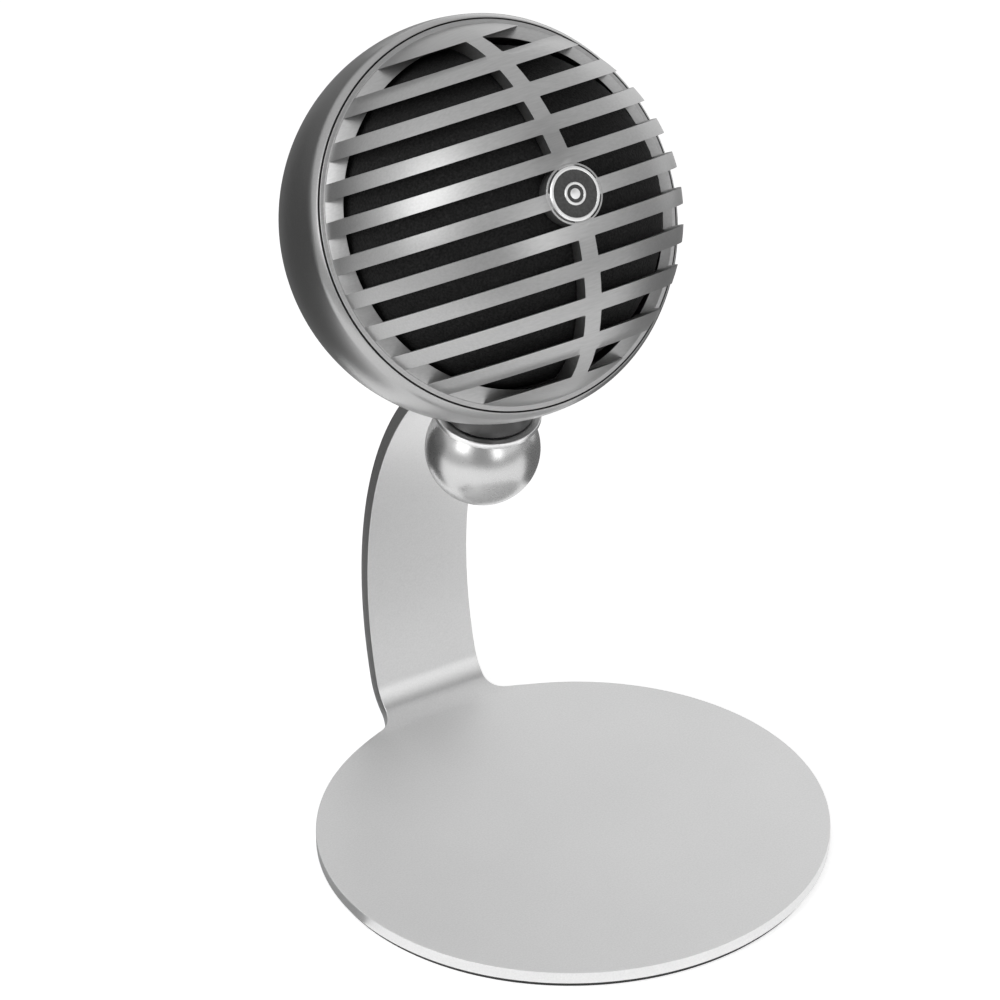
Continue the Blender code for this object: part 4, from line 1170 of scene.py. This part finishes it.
def inlet_floor(inset):
    return usb_outline(USB_WALL + 0.02 * MM + inset)


tongue_bm = soft_pushed(tongue_outline, COVER_OUT + 0.9 * MM, SOCKET_FRONT - 2.0 * MM, INLET_EDGE)
soft_pushed(inlet_floor, SOCKET_FRONT - 2.2 * MM, SOCKET_FRONT - 0.1 * MM, INLET_EDGE, tongue_bm)
add("inlet_tongue", tongue_bm, HEAD_PLACE, PLASTIC, "head", "black_plastic", "usb_socket")


def on_panel(spot):
    return HEAD_PLACE @ Matrix.Translation((*spot, 0.0))


JACK_PLACE = on_panel(JACK_SPOT)
jack_back = SOCKET_FRONT - 0.3 * MM
nose = [(JACK_BORE_R, jack_back), (JACK_BORE_R, COVER_OUT + 0.25 * MM), (JACK_BORE_R + 0.25 * MM, COVER_OUT)]
nose += [(JACK_R, COVER_OUT)]
for k in range(4):
    thread = COVER_OUT + (0.45 + 0.3 * k) * MM
    nose += [(JACK_R, thread), (JACK_R - 0.12 * MM, thread + 0.1 * MM), (JACK_R, thread + 0.2 * MM)]
nose += [(JACK_R, jack_back + 0.2 * MM), (0.0, jack_back + 0.2 * MM), (0.0, jack_back)]
nose_bm = soft_turned(nose, 0.05 * MM, 64)
add("jack_nose", nose_bm, JACK_PLACE, PLASTIC, "head", "black_plastic", "headphone_socket")


def jack_block(inset):
    return softened(box_outline(3.2 * MM - inset, 3.2 * MM - inset), 0.3 * MM, 3)


block_bm = soft_pushed(jack_block, COVER_IN + 0.55 * MM, SOCKET_FRONT, 0.15 * MM)
block = add("jack_block", block_bm, JACK_PLACE, PLASTIC, "head", "black_plastic", "headphone_socket")
block_bore = pushed(ring(JACK_R + 0.02 * MM), COVER_IN, jack_back + 0.22 * MM)
cut(block, tool("block_bore", block_bore, JACK_PLACE))
smooth(block)

# %% [markdown]
# Clear guides bring the light of the lamps on the board to the panel, and three screws hold the panel.
# All are turned. The cross in a screw's head is two thin boxes, cut out one after the other.

# %% Mode lights and panel screws
LAMP_BACK = SOCKET_FRONT - 0.7 * MM
guide = [(0.0, COVER_OUT), (0.45 * MM, COVER_OUT + 0.04 * MM)]
guide += [(GUIDE_R - 0.1 * MM, COVER_OUT + 0.15 * MM), (GUIDE_R, COVER_OUT + 0.35 * MM)]
guide += [(GUIDE_R, LAMP_BACK - GAP), (0.0, LAMP_BACK - GAP)]
for i, spot in enumerate(GUIDE_SPOTS, 1):
    guide_bm = turned(guide, 32)
    add(f"domed_guide_{i}", guide_bm, on_panel(spot), CLEAR, "head", "clear_guide", f"light_guide_{i}")

SCREW_SEAT = COVER_OUT - GAP
SCREW_TOP = SCREW_SEAT - 0.9 * MM
SCREW_HEAD_R = 1.8 * MM
SCREW_SHANK_R = 0.85 * MM
CROSS_LONG = 1.0 * MM
CROSS_THIN = 0.2 * MM
CROSS_FLOOR = SCREW_TOP + 0.5 * MM
screw = [(0.0, SCREW_TOP), (1.1 * MM, SCREW_TOP + 0.08 * MM), (1.6 * MM, SCREW_TOP + 0.35 * MM)]
screw += [(SCREW_HEAD_R, SCREW_TOP + 0.7 * MM), (SCREW_HEAD_R, SCREW_SEAT), (SCREW_SHANK_R, SCREW_SEAT)]
screw += [(SCREW_SHANK_R, REAR_INSIDE - GAP), (0.0, REAR_INSIDE - GAP)]
for i, spot in enumerate(SCREW_SPOTS, 1):
    panel_screw = add(f"panel_screw_{i}", turned(screw, 48), on_panel(spot), STEEL,
                      "head", "plain_steel", f"cover_screw_{i}")
    for half_w, half_h in ((CROSS_LONG, CROSS_THIN), (CROSS_THIN, CROSS_LONG)):
        cross_arm = pushed(box_outline(half_w, half_h), SCREW_TOP - MM, CROSS_FLOOR)
        cut(panel_screw, tool("cross_arm", cross_arm, on_panel(spot)))
    smooth(panel_screw)

# %% [markdown]
# ## Nodes kept from the CAD
# What sits inside the head and the ball keeps its CAD shape, which is right, and only gets its finish.

# %% Finishes for the kept nodes
kept = {
    "hinge_pin": STEEL, "friction_washer_left": STEEL, "friction_washer_right": STEEL, "thumb_shank": STEEL,
    "tilt_stud": STEEL, "stud_nut": STEEL, "pin_plug": BALL_METAL, "grille_gasket": RUBBER,
    "baffle_plate": PLASTIC, "capsule_mount": RUBBER, "capsule": BRASS, "capsule_lead": PLASTIC,
    "main_board": BOARD, "mode_switch": PLASTIC, "mute_switch": PLASTIC,
}
for i in (1, 2, 3):
    kept[f"status_led_{i}"] = CLEAR
    kept[f"board_screw_{i}"] = STEEL
for node, finish in kept.items():
    skin = frame["nodes"][node].data.materials
    skin.clear()
    skin.append(finish)
print(len(kept), "CAD nodes keep their shape")

# %% [markdown]
# ## The studio
# The photograph is a cut-out on white. Its highlights fit a tall soft box on the left and
# a small one in front. Metal shows what is round it, so the studio is built for its reflections.
# The world is brighter to the camera and in mirrors than as a lamp, or all shadows would be washed out.

# %% World and floor
def ray(finish, kind):
    return finish.node("ShaderNodeLightPath", {}, {}, f"Is {kind} Ray")


class Surroundings(Finish):
    def __init__(self, world):
        world.use_nodes = True
        self.material = world
        self.tree = world.node_tree
        self.shader = self.tree.nodes["Background"]


WHITE = (1.0, 1.0, 1.0, 1.0)
BLACK = (0.0, 0.0, 0.0, 1.0)
AMBIENT = 0.5
REFLECTED = 0.78
world = bpy.data.worlds.new("white_studio")
bpy.context.scene.world = world
surroundings = Surroundings(world)
seen = ray(surroundings, "Camera") + ray(surroundings, "Transmission")
mirrored = ray(surroundings, "Glossy")
brightness = AMBIENT + seen * (1.0 - AMBIENT) + mirrored * (REFLECTED - AMBIENT)
surroundings.surface(Color=WHITE, Strength=brightness)
FLOOR_HALF = 6.0
FLOOR_GLOW = 0.6


def pale_floor():
    finish = Finish("pale_floor")
    speck = finish.noise(60.0, 2.0)
    seen = ray(finish, "Camera") + ray(finish, "Transmission") + ray(finish, "Glossy")
    return finish.surface(
        Base_Color=finish.blend(speck, grey(0.78), grey(0.82)),
        Roughness=0.9,
        Specular_IOR_Level=0.0,
        Emission_Color=WHITE,
        Emission_Strength=seen * FLOOR_GLOW,
    )


def flat_sheet(name, corners):
    bm = bmesh.new()
    bm.faces.new([bm.verts.new(corner) for corner in corners])
    return tool(name, bm, STAND_PLACE)


floor = flat_sheet("floor", [(x, y, 0.0) for x, y in box_outline(FLOOR_HALF, FLOOR_HALF)])
floor.data.materials.append(pale_floor())
floor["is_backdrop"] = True
print("floor is", 2 * FLOOR_HALF, "m wide")

# %% [markdown]
# A bare white studio would turn the metal white too. A photographer darkens parts of it with grey cards
# and lifts others with white ones, until every face mirrors the tone that it should have.
# Here the cards glow in that tone. They lie on the floor, stand round the set or hang over it,
# and they are hidden from the camera, so only reflections show them.

# %% Cards
CARD_LIFT = 0.0006
FRONT = -1.5
BEHIND_FRONT = -1.52
BACK = 1.2
LEFT = -1.6
BEHIND_LEFT = -1.62
RIGHT = 1.8


def card_finish(name, tone):
    finish = Finish(name)
    return finish.surface(
        Base_Color=BLACK,
        Specular_IOR_Level=0.0,
        Emission_Color=(*grey(tone), 1.0),
        Emission_Strength=1.0,
    )


def reflected_only(card, tone):
    card.data.materials.append(card_finish(card.name, tone))
    card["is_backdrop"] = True
    card.visible_camera = False
    card.visible_diffuse = False
    card.visible_shadow = False
    card.visible_transmission = False
    print(card.name, "has a tone of", tone)


def level_card(name, tone, height, *corners):
    reflected_only(flat_sheet(name, [(x, y, height) for x, y in corners]), tone)


def wall_card(name, tone, start, end, height):
    corners = [(*start, CARD_LIFT), (*end, CARD_LIFT), (*end, height), (*start, height)]
    reflected_only(flat_sheet(name, corners), tone)


level_card("back_left_floor", 0.1, CARD_LIFT, (-0.038, 0.058), (LEFT, 0.714), (LEFT, 1.6), (-0.038, BACK))
level_card("back_floor", 0.16, CARD_LIFT, (-0.038, 0.11), (0.055, 0.11), (0.055, BACK), (-0.038, BACK))
level_card("far_back_floor", 0.24, CARD_LIFT, (0.055, 0.13), (0.45, 0.5), (0.45, BACK), (0.055, BACK))
level_card("left_floor", 0.62, CARD_LIFT, (-0.32, -0.27), (LEFT, FRONT), (LEFT, 0.714), (-0.32, 0.176))
level_card("front_floor", 0.48, CARD_LIFT, (-0.5, -0.27), (0.42, -0.27), (1.6, FRONT), (LEFT, FRONT))
level_card("right_floor", 0.2, CARD_LIFT, (0.055, 0.0), (0.33, -0.22), (0.33, 0.22), (0.055, 0.1))
level_card("far_right_floor", 0.25, CARD_LIFT, (0.33, -0.22), (0.9, -0.68), (0.9, -0.1), (0.33, 0.02))
wall_card("front_screen", 0.37, (LEFT, FRONT), (0.25, FRONT), 0.7)
wall_card("front_right_screen", 0.42, (0.25, FRONT), (RIGHT, FRONT), 0.25)
wall_card("front_right_card", 0.95, (0.25, BEHIND_FRONT), (RIGHT, BEHIND_FRONT), 1.1)
wall_card("camera_screen", 0.37, (-1.0, -0.75), (-0.35, -1.2), 0.95)
wall_card("left_screen", 0.55, (BEHIND_LEFT, FRONT), (BEHIND_LEFT, 0.7), 0.35)
wall_card("back_left_screen", 0.16, (BEHIND_LEFT, 0.7), (-0.1, BACK), 0.5)
wall_card("back_screen", 0.2, (-0.1, BACK), (0.3, BACK), 0.6)
wall_card("right_screen", 0.36, (RIGHT, FRONT), (1.2, 0.1), 0.35)
wall_card("back_right_card", 1.25, (1.16, 0.31), (0.6, 1.04), 0.5)
level_card("overhead_flag", 0.2, 0.9, (0.085, -0.319), (0.246, -0.918), (0.861, -0.401), (0.299, -0.139))

# %% [markdown]
# Two black strips lie close to the metal and are hidden from the camera as well.
# One is on the floor along the left of the base, and one runs beside the left edge of the arm.
# So both edges mirror black and stand out against the white. The second follows the fold of the plate.

# %% Black strips
STRIP_GAP = 0.8 * MM
STRIP_FROM = -0.3 * MM
STRIP_TO = 4.5 * MM
strip_lengths = spread_over(BEND_Y, HOLE_LENGTH, 40)


def strip_edge(bm, depth):
    return [bm.verts.new(folded(-half_width(y) - STRIP_GAP, y, depth)) for y in strip_lengths]


strip_bm = bmesh.new()
near = strip_edge(strip_bm, STRIP_FROM)
far = strip_edge(strip_bm, STRIP_TO)
for i in range(len(strip_lengths) - 1):
    strip_bm.faces.new((near[i], near[i + 1], far[i + 1], far[i]))
reflected_only(tool("arm_strip", strip_bm, STAND_PLACE), 0.1)
LEFT_START = radians(140.0)
LEFT_END = radians(184.0)
rim_strip = arc((0.0, 0.0), BASE_R + 0.3 * MM, LEFT_START, LEFT_END, 24)
rim_strip += arc((0.0, 0.0), BASE_R + 9.0 * MM, LEFT_END, LEFT_START, 24)
level_card("rim_strip", 0.14, CARD_LIFT, *rim_strip)

# %% [markdown]
# The lamps are two area lights. A lamp's power grows with its area at the same brightness,
# so each is given its radiance, which is what a reflection shows, and the power is worked out from it.

# %% Soft boxes
def soft_box(name, place, aim, width, height, radiance):
    lamp = bpy.data.lights.new(name, "AREA")
    lamp.shape = "RECTANGLE"
    lamp.size = width
    lamp.size_y = height
    lamp.energy = radiance * pi * width * height
    made = bpy.data.objects.new(name, lamp)
    made.location = place
    made.rotation_euler = (Vector(aim) - Vector(place)).to_track_quat("-Z", "Y").to_euler()
    bpy.context.scene.collection.objects.link(made)
    print(name, "gives", round(lamp.energy, 2), "W")


AIM = (0.0, 0.0, 0.08)
soft_box("left_box", (-0.463, -0.09, 0.452), AIM, 0.26, 0.50, 2.6)
soft_box("front_box", (-0.01, -0.66, 0.27), AIM, 0.22, 0.26, 2.4)

# %% [markdown]
# ## The camera
# The photograph was taken from the left and above with a long lens.
# The camera's place, lens and roll, under a degree, were fitted to the outlines of base, arm and head.

# %% Camera
VIEW_AZIMUTH = radians(31.577)
VIEW_ELEVATION = radians(32.08)
VIEW_ROLL = radians(-0.84)
VIEW_DISTANCE = 1375.66 * MM
VIEW_CENTRE = Vector((0.0, 15.0, 65.15)) * MM
VIEW_SHIFT = (-3.849 * MM, -3.239 * MM)
FOCAL_LENGTH = 290.93
SENSOR_WIDTH = 36.0
flat_back = Vector((-sin(VIEW_AZIMUTH), -cos(VIEW_AZIMUTH), 0.0))
back = flat_back * cos(VIEW_ELEVATION) + Vector((0.0, 0.0, sin(VIEW_ELEVATION)))
level = Vector((0.0, 0.0, 1.0)).cross(back).normalized()
upright = back.cross(level)
right = level * cos(VIEW_ROLL) + upright * sin(VIEW_ROLL)
over = upright * cos(VIEW_ROLL) - level * sin(VIEW_ROLL)
stand_at = VIEW_CENTRE + back * VIEW_DISTANCE
look_at = VIEW_CENTRE + right * VIEW_SHIFT[0] + over * VIEW_SHIFT[1]
line = (stand_at - look_at).normalized()
side = over.cross(line).normalized()
lens = bpy.data.cameras.new("photo_camera")
lens.lens = FOCAL_LENGTH
lens.sensor_width = SENSOR_WIDTH
lens.clip_start = 0.05
lens.clip_end = 60.0
camera = bpy.data.objects.new("photo_camera", lens)
camera.matrix_world = place_of(stand_at, side, line)
bpy.context.scene.collection.objects.link(camera)
bpy.context.scene.camera = camera
bpy.context.scene.view_settings.view_transform = "Standard"
print("camera stands at", [round(x, 3) for x in stand_at])

# %% [markdown]
# ## Sizes
# The box of these meshes is printed here, as the box of the CAD part was at the start.

# %% Sizes
visual_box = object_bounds()
print("visual box in mm:", [in_mm(corner) for corner in visual_box])
